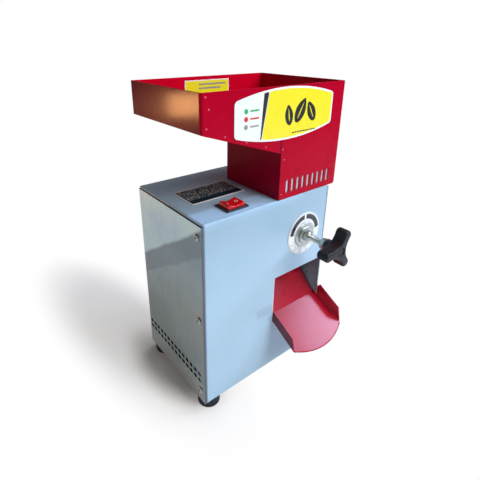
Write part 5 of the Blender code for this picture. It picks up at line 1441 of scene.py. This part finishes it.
@dataclass
class Dial:
    """Round film behind the adjuster: two arrows, ticks and plain numbers."""

    x: float = 161.7
    z: float = 195.9
    radius: float = 29.9
    back: float = -0.3
    thickness: float = 0.5
    edge: float = 0.15
    bore: float = 6.4
    print_rise: float = 0.06
    arrows: tuple[Pair, ...] = ((94.0, 176.0), (86.0, 4.0))
    arrow_rims: Pair = (20.6, 27.0)
    arrow_head: float = 7.0
    head_overhang: float = 1.6
    tick_angles: range = range(200, 341, 10)
    tick_half: float = 0.9
    tick_outer: float = 23.2
    long_tick: float = 20.6
    short_tick: float = 21.8
    ring: Pair = (28.3, 28.7)
    number_height: float = 4.2
    number_radius: float = 25.8
    number_start: float = 205.0
    number_step: float = 26.0
    number_count: int = 6

    def polar(self, radius: float, angle: float, y: float) -> Vector:
        """A place on the dial's face."""
        return DATUM.at(self.x + radius * math.cos(angle), y, self.z + radius * math.sin(angle))

    def band(self, start: float, end: float, rims: Pair, head: float = 0.0) -> Piece:
        """A curved bar or arrow.

        Args:
            start: Angle of its tail, in degrees.
            end: Angle of its tip, in degrees.
            rims: Inner and outer radius.
            head: Angle that the head takes up, in degrees, if any.

        Returns:
            The arrow.
        """
        inner, outer = rims
        y = self.back - self.thickness
        first, last = math.radians(start), math.radians(end)
        neck = last - math.radians(head) * (1 if end > start else -1)
        steps = 24
        angles = [first + (neck - first) * i / steps for i in range(steps + 1)]
        outline = [self.polar(outer, angle, y) for angle in angles]
        if head:
            outline.append(self.polar(outer + self.head_overhang, neck, y))
            outline.append(self.polar((inner + outer) / 2, last, y))
            outline.append(self.polar(inner - self.head_overhang, neck, y))
        outline += [self.polar(inner, angle, y) for angle in reversed(angles)]
        return outline_solid(outline, Vector((0.0, -self.print_rise * MM, 0.0)))

    def build(self) -> None:
        """Make the film and its print."""
        centre = DATUM.at(self.x, self.back, self.z)
        face, edge = self.thickness, self.edge
        profile = ((self.radius, 0.0), (self.radius, face - edge), (self.radius - edge, face))
        film = bored(turned(profile, centre, Facing.FRONT, 96), self.bore, (-2.0, 3.0), centre, Facing.FRONT)
        dress(smooth(film, 25.0), "dial_film", LABEL_WHITE, "adjuster_dial")
        arrows = [self.band(start, end, self.arrow_rims, self.arrow_head) for start, end in self.arrows]
        dress(joined(arrows), "dial_arrows", LABEL_BLACK)
        ticks = []
        for index, angle in enumerate(self.tick_angles):
            inner = self.short_tick if index % 4 else self.long_tick
            ticks.append(self.band(angle - self.tick_half, angle + self.tick_half, (inner, self.tick_outer)))
        dress(joined(ticks), "dial_ticks", INK_GREY)
        numbers = []
        for index in range(self.number_count):
            numbers.append(self.number(index, self.number_start + self.number_step * index))
        dress(joined(numbers), "dial_numbers", LABEL_BLACK)
        dress(self.band(0.0, 359.0, self.ring), "dial_ring", INK_GREY)

    def number(self, value: int, angle: float) -> Piece:
        """A plain number on the dial, as a thin solid.

        Args:
            value: The number.
            angle: Its place round the dial, in degrees.

        Returns:
            The number's solid.
        """
        deselect()
        bpy.ops.object.text_add()
        text = bpy.context.active_object.data
        text.body = str(value)
        text.size = self.number_height * MM
        text.align_x = text.align_y = "CENTER"
        text.extrude = self.print_rise * MM / 2
        choose(bpy.context.active_object)
        bpy.ops.object.convert(target="MESH")
        piece = bpy.context.active_object
        y = self.back - self.thickness - self.print_rise / 2
        place = Matrix.Translation(self.polar(self.number_radius, math.radians(angle), y))
        turn = Matrix.Rotation(-math.radians(angle + 90.0), 4, "Y") @ Matrix.Rotation(math.pi / 2, 4, "X")
        piece.matrix_world = place @ turn
        return settle(piece)


@dataclass
class Adjuster:
    """Washers, nuts, threaded rod and three-arm knob."""

    x: float = 161.7
    z: float = 194.5
    washers: tuple[tuple[str, float], ...] = (("panel_washer", 17.5), ("thrust_washer", 12.0))
    washer_bore: float = 4.5
    washer_edge: float = 0.25
    flats: float = 13.0
    nut_height: float = 6.5
    nut_bore: float = 4.06
    nut_face: float = 0.93
    nut_rim: float = 1.01
    nut_chamfer: float = 1.15
    countersink: tuple[Pair, Pair] = ((4.05, -0.5), (4.9, 0.4))
    rod_radius: float = 4.0
    root_radius: float = 3.45
    pitch: float = 1.25
    thread_steps: int = 32
    thread_shares: tuple[float, float, float, float] = (0.0, 0.42, 0.52, 0.94)
    thread_sink: float = 0.15
    thread_start: float = 0.6
    thread_margin: float = 6.0
    rod_front: float = -52.7
    rod_back: float = 22.3
    rod_tip: float = 0.5
    shank: Pair = (4.0, 3.9)
    collar_radius: float = 7.0
    collar_back: float = 25.7
    collar_edge: float = 0.3
    knob_back: float = -44.5
    knob_thickness: float = 16.0
    knob_edge: float = 2.4
    knob_reach: float = 28.0
    tip_radius: float = 6.1
    waist: float = 9.9
    hub_back: float = -37.0
    hub_radius: float = 8.5
    hub_root: float = 4.0
    hub_flare: tuple[Pair, ...] = ((1.2, 0.0), (0.2, 4.2), (0.0, 5.0))
    hub_edge: float = 0.8
    knob_bore: float = 4.1
    first_arm: float = 62.0
    recess: tuple[Pair, ...] = ((6.2, -1.0), (6.2, 1.1), (5.4, 1.6))
    boss: tuple[Pair, ...] = ((4.4, 0.0), (4.4, 0.6), (3.9, 1.0))
    boss_seat: float = 1.7
    bush: tuple[Pair, ...] = ((5.9, 0.0), (6.2, 0.3), (6.2, 3.0))
    bush_bore: float = 4.05
    bush_stand: float = 0.15

    def axis(self, y: float) -> Vector:
        """A place on the rod's axis."""
        return DATUM.at(self.x, y, self.z)

    def behind(self, node: str) -> Vector:
        """The place on the rod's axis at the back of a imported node."""
        return Vector((self.axis(0.0).x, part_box(node)[1].y, self.axis(0.0).z))

    def washer(self, node: str, radius: float) -> None:
        """Make a washer with rounded rims.

        Args:
            node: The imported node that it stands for.
            radius: Its radius.
        """
        low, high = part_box(node)
        thick = (high.y - low.y) / MM
        edge = self.washer_edge
        profile = ((radius - edge, 0.0), (radius, edge), (radius, thick - edge), (radius - edge, thick))
        centre = self.behind(node)
        piece = turned(profile, centre, Facing.FRONT, 72)
        bored(piece, self.washer_bore, (-3.0, 6.0), centre, Facing.FRONT)
        dress(smooth(piece, 30.0), f"{node}_disc", ZINC, node)

    def nut(self, node: str, body: Body, turn: float) -> None:
        """Make a six-sided nut with turned-off corners.

        Args:
            node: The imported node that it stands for.
            body: What it moves with.
            turn: Turn of its flats, in degrees.
        """
        corner, half = self.flats / math.sqrt(3.0), self.nut_height / 2
        deselect()
        bpy.ops.mesh.primitive_cylinder_add(vertices=6, radius=corner * MM, depth=self.nut_height * MM)
        piece = moved(bpy.context.active_object, ORIGIN, (0.0, 0.0, math.radians(turn)))
        face, rim, shoulder = self.flats / 2 * self.nut_face, corner * self.nut_rim, half - self.nut_chamfer
        profile = ((face, -half), (rim, -shoulder), (rim, shoulder), (face, half))
        carve(piece, turned(profile, steps=72), "INTERSECT")
        inner, outer = ((radius, half + along) for radius, along in self.countersink)
        carve(piece, turned((inner, outer), steps=48))
        carve(piece, turned(((outer[0], -outer[1]), (inner[0], -inner[1])), steps=48))
        bored(piece, self.nut_bore, (-half - 1.0, half + 1.0))
        soften(piece, 0.12, 1, 40.0)
        moved(piece, self.behind(node) + Vector((0.0, -half * MM, 0.0)), Facing.FRONT.value)
        dress(piece, f"{node}_hexagon", ZINC, node, body=body)

    def rod(self) -> None:
        """Make the rod's core with its collar."""
        length = self.rod_back - self.rod_front
        back = self.collar_back - self.rod_front
        core, edge = self.root_radius + 0.05, self.collar_edge
        rim = self.collar_radius - edge
        profile = (
            (self.root_radius - self.rod_tip, 0.0),
            (core, self.rod_tip),
            (core, length - self.shank[0]),
            (self.rod_radius, length - self.shank[1]),
            (self.rod_radius, length),
            (rim, length),
            (self.collar_radius, length + edge),
            (self.collar_radius, back - edge),
            (rim, back),
        )
        piece = turned(profile, self.axis(self.rod_front), Facing.BACK, 48)
        dress(smooth(piece, 30.0), "threaded_rod", ZINC, "adjuster_rod", body=Body.ADJUSTER)

    def thread(self) -> None:
        """Wind the thread on the rod, from a small section."""
        root = self.root_radius - self.thread_sink
        piece = disc(4, MM, "NOTHING")
        radii = (root, self.rod_radius, self.rod_radius, root)
        for vertex, radius, share in zip(piece.data.vertices, radii, self.thread_shares):
            vertex.co = (radius * MM, 0.0, self.pitch * share * MM)
        modified(
            piece,
            "SCREW",
            screw_offset=self.pitch * MM,
            iterations=int((self.rod_back - self.rod_front - self.thread_margin) / self.pitch),
            steps=self.thread_steps,
            render_steps=self.thread_steps,
            merge_threshold=MERGE_DISTANCE,
        )
        edit_all(piece, partial(bpy.ops.mesh.fill_holes, sides=8))
        moved(piece, self.axis(self.rod_front + self.thread_start), Facing.BACK.value)
        dress(smooth(point_outwards(piece), 30.0), "rod_thread", ZINC, body=Body.ADJUSTER)

    def star(self) -> list[Pair]:
        """Outline of the knob: three round-tipped arms joined by hollow curves.

        Returns:
            The outline, in millimetres from the rod's axis.
        """
        arm = self.knob_reach - self.tip_radius
        drop = self.tip_radius - self.waist
        hollow = (arm * arm - drop * drop) / (arm + 2 * drop)
        half = TURN / 6
        centre = (hollow * math.cos(half), hollow * math.sin(half))
        tangent = math.atan2(centre[1], centre[0] - arm)
        away = (tangent + math.pi) % TURN
        shape = arc_points((arm, 0.0), self.tip_radius, -tangent, tangent, 18)
        shape += arc_points(centre, hollow - self.waist, away, 2 * (math.pi + half) - away, 18)[1:-1]
        first = math.radians(self.first_arm)
        return [rotated(point, first + number * TURN / 3) for number in range(3) for point in shape]

    def knob(self) -> None:
        """Make the knob with its hub and the recess in its face."""
        outline = [DATUM.at(self.x + u, self.knob_back, self.z + v) for u, v in self.star()]
        piece = outline_solid(outline, Vector((0.0, -self.knob_thickness * MM, 0.0)))
        soften(piece, self.knob_edge, 6, 60.0)
        root, length = self.knob_back - self.hub_root, self.hub_back - self.knob_back + self.hub_root
        hub = (
            *((self.hub_radius + wider, along) for wider, along in self.hub_flare),
            (self.hub_radius, length - self.hub_edge),
            (self.hub_radius - self.hub_edge, length),
        )
        carve(piece, turned(hub, self.axis(root), Facing.BACK), "UNION")
        front = self.knob_back - self.knob_thickness
        carve(piece, turned(self.recess, self.axis(front), Facing.BACK))
        carve(piece, turned(self.boss, self.axis(front + self.boss_seat), Facing.FRONT, 48), "UNION")
        bored(piece, self.knob_bore, (-1.0, 12.0), self.axis(self.hub_back), Facing.FRONT)
        dress(smooth(piece, 38.0), "three_arm_knob", KNOB_PLASTIC, "adjuster_knob", body=Body.ADJUSTER)

    def insert(self) -> None:
        """Make the metal bush that shows in the hub's end."""
        end = self.axis(self.hub_back + self.bush_stand)
        piece = turned(self.bush, end, Facing.FRONT, 48)
        bored(piece, self.bush_bore, (-1.0, 6.0), end, Facing.FRONT)
        dress(smooth(piece), "knob_bush", ZINC, body=Body.ADJUSTER)

    def build(self) -> None:
        """Make every piece of the adjuster."""
        for node, radius in self.washers:
            self.washer(node, radius)
        self.nut("panel_nut", Body.HOUSING, 12.0)
        self.nut("knob_lock_nut", Body.ADJUSTER, 25.0)
        self.rod()
        self.thread()
        self.knob()
        self.insert()


@dataclass
class Switch:
    """Rocker switch with plain on and off marks."""

    pivot_drop: float = 1.0
    end_angle: float = 26.0
    valley: float = 2.4
    mark_share: float = 0.55
    mark_stand: float = 0.1
    mark_depth: float = 0.15
    bar: Pair = (0.4, 2.0)
    ring: Pair = (1.35, 2.0)

    def build(self) -> None:
        """Make the housing, the rocker and its marks."""
        dress(refined("switch_housing", 0.25, 3), "switch_bezel", BLACK_PLASTIC, "switch_housing")
        rocker = refined("switch_rocker", 0.5, 4)
        dress(rocker, "rocker_key", RED_PLASTIC, "switch_rocker", body=Body.ROCKER)
        marks = [self.mark(side) for side in (-1.0, 1.0)]
        dress(joined(marks), "rocker_marks", INK_WHITE, body=Body.ROCKER)

    def mark(self, side: float) -> Piece:
        """Make the white bar or ring on one slope of the rocker.

        Args:
            side: Minus one for the bar's side, one for the ring's.

        Returns:
            The mark.
        """
        low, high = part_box("switch_rocker")
        middle = (low + high) / 2
        pivot_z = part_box("switch_housing")[1].z - self.pivot_drop * MM
        radius, angle = (high.x - low.x) / 2, math.radians(self.end_angle)
        tip = Vector((radius * math.cos(angle) * side, 0.0, radius * math.sin(angle)))
        valley = Vector((0.0, 0.0, self.valley * MM))
        along = (tip - valley).normalized()
        normal = Vector((-along.z, 0.0, along.x)) * side
        place = valley + (tip - valley) * self.mark_share + normal * self.mark_stand * MM
        if side < 0:
            half, length = self.bar
            piece = block(Vector((-half, -length, -self.mark_depth)) * MM, Vector((half, length, 0.0)) * MM)
        else:
            inner, outer = self.ring
            ring = turned(((outer, -self.mark_depth), (outer, 0.0)), steps=32)
            piece = bored(ring, inner, (-1.0, 1.0), steps=32)
        turn = (0.0, -math.atan2(along.z, abs(along.x)) * side, 0.0)
        return moved(piece, Vector((middle.x, middle.y, pivot_z)) + place, turn)


@dataclass
class Chute:
    """The outlet chute of one even sheet, with round bends, a hem along its lip and a filler at its notch."""

    edge: float = 0.3
    bend: float = 1.6
    bend_inset: float = 0.05
    fall: float = 0.545
    floor_z: float = 76.0
    back: float = 6.6
    length: float = 54.0
    left_wall: float = 113.95
    right_wall: float = 208.6
    sheet: float = 1.2
    outer: tuple[Triple, ...] = (
        (-1.0, 0.0, 0.0),
        (1.0, 0.0, 0.0),
        (0.0, 0.479, -0.878),
        (0.0, 0.740, -0.673),
        (0.0, 0.878, 0.479),
    )
    sides: Pair = (112.9, 209.7)
    least_area: float = 20.0
    fade: Pair = (-20.0, 14.0)
    filler: tuple[Triple, Triple] = ((203.0, 6.9, 79.6), (205.25, 8.3, 83.2))
    hem_centre: Triple = (161.3, 46.9, 100.9)
    hem_radius: float = 100.5
    hem_width: float = 0.75
    hem_sweep: float = 27.5

    def round_bend(self, x: float, side: float) -> Piece:
        """Make the hollow round between the floor and one wall.

        Args:
            x: The wall's inner face.
            side: One for the right wall, minus one for the left.

        Returns:
            The bend.
        """
        slope = math.atan(self.fall)
        along = Vector((0.0, math.cos(slope), math.sin(slope)))
        upright = Vector((0.0, -math.sin(slope), math.cos(slope)))
        inset = self.bend_inset
        edge = DATUM.at(x + inset * side, self.back, self.floor_z + self.fall * self.back)
        corner = edge - upright * inset * MM
        size = self.bend * MM
        across = Vector((side, 0.0, 0.0))
        middle = corner - across * size + upright * size
        angles = (math.radians(15.0 * step) for step in range(7))
        curve = [middle + size * (across * math.sin(angle) - upright * math.cos(angle)) for angle in angles]
        return outline_solid([corner, *curve], -along * self.length * MM)

    def is_outer(self, face: bpy.types.MeshPolygon) -> bool:
        """Whether a face belongs to the sheet's under and outer side.

        Args:
            face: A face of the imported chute.

        Returns:
            True for an outer face.
        """
        x = (face.center.x - DATUM.x) / MM
        left, right = self.sides
        if abs(face.normal.x) > 0.9:
            return x < left if face.normal.x < 0.0 else x > right
        large = face.area > self.least_area * MM * MM
        return large and any(face.normal.dot(Vector(side)) > 0.9995 for side in self.outer)

    def shell(self) -> Piece:
        """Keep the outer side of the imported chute, give it an even thickness and mark its bend.

        Returns:
            The sheet.
        """
        piece = merged("outlet_chute")
        inner = [face.index for face in piece.data.polygons if not self.is_outer(face)]
        bpy.context.tool_settings.mesh_select_mode = (False, False, True)
        edit_all(piece, partial(bpy.ops.mesh.select_all, action="DESELECT"))
        for index in inner:
            piece.data.polygons[index].select = True
        choose(piece)
        bpy.ops.object.mode_set(mode="EDIT")
        bpy.ops.mesh.delete(type="FACE")
        bpy.ops.object.mode_set(mode="OBJECT")
        bpy.context.tool_settings.mesh_select_mode = (True, False, False)
        log.info("the chute keeps %d outer faces", len(piece.data.polygons))
        modified(
            piece,
            "SOLIDIFY",
            solidify_mode="NON_MANIFOLD",
            nonmanifold_thickness_mode="CONSTRAINTS",
            thickness=self.sheet * MM,
            offset=-1.0,
        )
        for y in self.fade:
            cut = {"plane_co": DATUM.at(0.0, y, 0.0), "plane_no": (0.0, 1.0, 0.0)}
            edit_all(piece, partial(bpy.ops.mesh.bisect, **cut))
        return piece

    def hem(self) -> Piece:
        """Make the rounded hem along the lip, by spinning a small disc.

        Returns:
            The hem.
        """
        sweep = math.radians(self.hem_sweep)
        start = Vector((0.0, -self.hem_radius * MM, 0.0))
        piece = moved(disc(10, self.hem_width * MM), start, Facing.RIGHT.value)
        moved(piece, ORIGIN, (0.0, 0.0, sweep))
        spin = {"steps": 28, "angle": 2.0 * sweep, "center": (0.0, 0.0, 0.0), "axis": (0.0, 0.0, 1.0)}
        edit_all(piece, partial(bpy.ops.mesh.spin, **spin))
        slope = math.atan(self.fall)
        piece.scale = (1.0, 1.0 / math.cos(slope), 1.0)
        return smooth(point_outwards(moved(piece, DATUM.at(*self.hem_centre), (slope, 0.0, 0.0))), 50.0)

    def build(self) -> None:
        """Make the chute."""
        dress(self.hem(), "chute_hem", RED)
        low, high = (DATUM.at(*corner) for corner in self.filler)
        dress(soften(block(low, high), self.edge), "chute_seam", CHUTE_RED)
        bends = joined([self.round_bend(self.right_wall, 1.0), self.round_bend(self.left_wall, -1.0)])
        dress(smooth(bends, 25.0), "chute_bends", CHUTE_RED)
        chute = soften(self.shell(), self.edge, 1, crease=21.0, weighted=False)
        dress(chute, "chute_sheet", CHUTE_RED, "outlet_chute")


@dataclass
class Inlet:
    """The mains inlet with nickel blades and its two screws."""

    edge: float = 0.3
    socket_depth: float = 17.0
    blades: tuple[Pair, ...] = ((-7.0, 0.0), (0.0, 2.5), (7.0, 0.0))
    blade_half: Pair = (1.06, 2.06)
    blade_span: Pair = (0.5, 11.6)
    blade_edge: float = 0.35
    screw_reach: float = 20.0
    screw_seat: float = 1.3

    def build(self) -> None:
        """Make the moulding, the blades and the screws."""
        dress(refined("power_inlet", self.edge), "inlet_moulding", BLACK_PLASTIC, "power_inlet")
        low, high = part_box("power_inlet")
        centre = (low + high) / 2
        root = high.y - self.socket_depth * MM
        half_x, half_z = (half * MM for half in self.blade_half)
        start, end = (root + reach * MM for reach in self.blade_span)
        blades = []
        for x, z in ((centre.x + x * MM, centre.z + z * MM) for x, z in self.blades):
            blade = block(Vector((x - half_x, start, z - half_z)), Vector((x + half_x, end, z + half_z)))
            blades.append(soften(blade, self.blade_edge, 2, 40.0))
        dress(joined(blades), "inlet_blades", BLADE_METAL)
        shape = CrossScrew(radius=2.6, height=1.2, recess_length=3.0, recess_width=0.7, recess_depth=0.8)
        seats = [
            Vector((centre.x + side * self.screw_reach * MM, high.y - self.screw_seat * MM, centre.z))
            for side in (-1.0, 1.0)
        ]
        dress(joined([shape.head(seat, Facing.BACK, 20.0) for seat in seats]), "inlet_screws", ZINC)


@dataclass
class Interior:
    """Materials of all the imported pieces, those inside the body too, by their slots in the record."""

    finishes: tuple[Finish, ...] = (
        ZINC,
        DARK_STEEL,
        PALE_SHEET,
        ALUMINIUM,
        RUBBER,
        STEEL,
        PAINT,
        RED,
        BLACK_PLASTIC,
        RED_PLASTIC,
        LABEL_YELLOW,
        LABEL_WHITE,
        LABEL_BLACK,
    )

    def build(self) -> None:
        """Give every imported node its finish."""
        by_slot = {finish.slot: finish for finish in self.finishes}
        for entry in frame["record"]["subparts"]:
            node = frame["nodes"][entry["node"]]
            material = PAINTBOX.get(by_slot[entry["material_slot"]])
            node.data.materials.clear()
            node.data.materials.append(material)
            log.info("%s is finished in %s", entry["node"], material.name)


@dataclass(frozen=True)
class Lamp:
    """A soft rectangular lamp: its place and size in millimetres, its power in watts and its colour."""

    name: str
    place: Triple
    width: float
    height: float
    power: float
    colour: Colour
    target: Triple = (105.0, 40.0, 170.0)

    def build(self) -> None:
        """Add the lamp, aimed at its target."""
        data = bpy.data.lights.new(self.name, "AREA")
        data.shape = "RECTANGLE"
        data.size = self.width * MM
        data.size_y = self.height * MM
        data.energy = self.power
        data.color = self.colour
        lamp = bpy.data.objects.new(self.name, data)
        bpy.context.scene.collection.objects.link(lamp)
        here, there = DATUM.at(*self.place), DATUM.at(*self.target)
        turn = (here - there).to_track_quat("Z", "Y").to_matrix().to_4x4()
        lamp.matrix_world = Matrix.Translation(here) @ turn


@dataclass(frozen=True)
class Shade:
    """A soft oval of the floor where the object's shadow shows.

    It has its centre in millimetres, its half sizes in metres, its turn in degrees, the least share of glow,
    and where that share starts and ends to rise, as parts of the half sizes.
    """

    centre: Pair
    size: Pair
    turn: float
    least: float
    near: float
    far: float

    def mask(self, sheet: NodeSheet) -> Socket:
        """Add the nodes of the oval.

        Args:
            sheet: The floor's nodes.

        Returns:
            The share of glow, least inside and one outside.
        """
        middle = DATUM.at(*self.centre, 0.0)
        oval = sheet.node(
            "ShaderNodeMapping",
            vector_type="TEXTURE",
            Location=(middle.x, middle.y, 0.0),
            Rotation=(0.0, 0.0, math.radians(self.turn)),
            Scale=(*self.size, 1.0),
        )
        sheet.feed(sheet.place, oval.inputs["Vector"])
        distance = sheet.node("ShaderNodeVectorMath", operation="LENGTH")
        sheet.feed(oval.outputs["Vector"], distance.inputs[0])
        rise = (self.near, self.far), (self.least, 1.0)
        return sheet.rescaled(distance.outputs["Value"], *rise, interpolation_type="SMOOTHSTEP")


@dataclass
class Studio:
    """Pale floor, soft light and the camera."""

    eye: Triple = (-191.9, -289.7, 430.3)
    yaw: float = 0.658
    pitch: float = 0.3861
    roll: float = 0.004
    lens: float = 28.34
    sensor: float = 36.0
    clip: Pair = (0.01, 200.0)
    shift: Pair = (0.0282, -0.0931)
    world_level: float = 0.12
    floor_size: float = 80.0
    floor_tone: float = 0.92
    floor_roughness: float = 0.9
    glossy_tone: float = 0.9
    shades: tuple[Shade, ...] = (
        Shade((-16.0, 215.0), (0.085, 0.26), 8.0, 0.40, 0.45, 1.25),
        Shade((4.0, 96.0), (0.036, 0.085), 4.0, 0.02, 0.50, 1.50),
    )
    lamps: tuple[Lamp, ...] = (
        Lamp("key_light", (520.0, -1200.0, 1150.0), 800.0, 800.0, 17.5, (1.0, 0.985, 0.97)),
        Lamp("left_fill", (-1500.0, -300.0, 700.0), 900.0, 900.0, 2.4, (0.97, 0.99, 1.0)),
        Lamp("top_light", (560.0, 160.0, 1650.0), 800.0, 800.0, 6.0, (0.98, 0.99, 1.0)),
        Lamp(
            "sky_card", (1154.0, -442.0, 960.0), 460.0, 460.0, 10.5, (0.64, 0.70, 1.0), (160.0, -20.0, 70.0)
        ),
        Lamp(
            "warm_card", (-656.0, 1020.0, 193.0), 210.0, 90.0, 1.6, (1.0, 0.47, 0.18), (4.0, 40.0, 368.0)
        ),
    )

    def build(self) -> None:
        """Set the stage."""
        self.camera()
        self.floor()
        self.world()
        for lamp in self.lamps:
            lamp.build()
        bpy.context.scene.view_settings.view_transform = "Standard"

    def camera(self) -> None:
        """Place the camera at the photograph's viewpoint."""
        data = bpy.data.cameras.new("viewpoint")
        data.sensor_width = self.sensor
        data.lens = self.lens
        data.shift_x, data.shift_y = self.shift
        data.clip_start, data.clip_end = self.clip
        camera = bpy.data.objects.new("viewpoint", data)
        bpy.context.scene.collection.objects.link(camera)
        turn = Matrix.Rotation(-self.yaw, 4, "Z") @ Matrix.Rotation(math.pi / 2 - self.pitch, 4, "X")
        turn = turn @ Matrix.Rotation(self.roll, 4, "Z")
        camera.matrix_world = Matrix.Translation(DATUM.at(*self.eye)) @ turn
        bpy.context.scene.camera = camera

    def floor(self) -> None:
        """Make the pale floor, which keeps the object's shadow."""
        deselect()
        bpy.ops.mesh.primitive_plane_add(size=self.floor_size, location=ORIGIN)
        floor = settle(bpy.context.active_object)
        floor.name = "floor"
        sheet = NodeSheet("pale_floor")
        sheet.set(Roughness=self.floor_roughness, Specular_IOR_Level=0.0)
        path = sheet.node("ShaderNodeLightPath").outputs
        tone, reflected = (self.floor_tone,) * 3, (self.floor_tone * self.glossy_tone,) * 3
        sheet.feed(sheet.blend(path["Is Glossy Ray"], tone, reflected), sheet.shader.inputs["Base Color"])
        seen = sheet.math("MAXIMUM", path["Is Camera Ray"], path["Is Transmission Ray"])
        mix = sheet.node("ShaderNodeMixShader")
        sheet.feed(sheet.product(seen, *(shade.mask(sheet) for shade in self.shades)), mix.inputs["Fac"])
        sheet.feed(sheet.shader.outputs["BSDF"], mix.inputs[1])
        glow = sheet.node("ShaderNodeEmission", Color=(*WHITE, 1.0), Strength=1.0)
        sheet.feed(glow.outputs["Emission"], mix.inputs[2])
        sheet.feed(mix.outputs["Shader"], sheet.tree.nodes["Material Output"].inputs["Surface"])
        floor.data.materials.append(sheet.material)

    def world(self) -> None:
        """Make the white surroundings, which light the object only softly."""
        world = bpy.data.worlds.new("surroundings")
        bpy.context.scene.world = world
        world.use_nodes = True
        nodes = Nodes(world.node_tree)
        back = nodes.tree.nodes["Background"].inputs
        nodes.feed(WHITE, back["Color"])
        path = nodes.node("ShaderNodeLightPath").outputs
        seen = nodes.math("MAXIMUM", path["Is Camera Ray"], path["Is Transmission Ray"])
        nodes.feed(nodes.rescaled(seen, (0.0, 1.0), (self.world_level, 1.0)), back["Strength"])


def main() -> None:
    """Build every piece and the studio."""
    logging.basicConfig(level=logging.INFO, format="%(message)s")
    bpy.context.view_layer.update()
    assemblies = (
        Interior(),
        SheetBody(),
        Screws(),
        Feet(),
        Hopper(),
        HopperLabel(),
        SmallPlates(),
        Dial(),
        Adjuster(),
        Switch(),
        Chute(),
        Inlet(),
        Studio(),
    )
    for assembly in assemblies:
        log.info("building %s", type(assembly).__name__)
        assembly.build()


if __name__ == "__main__":
    main()
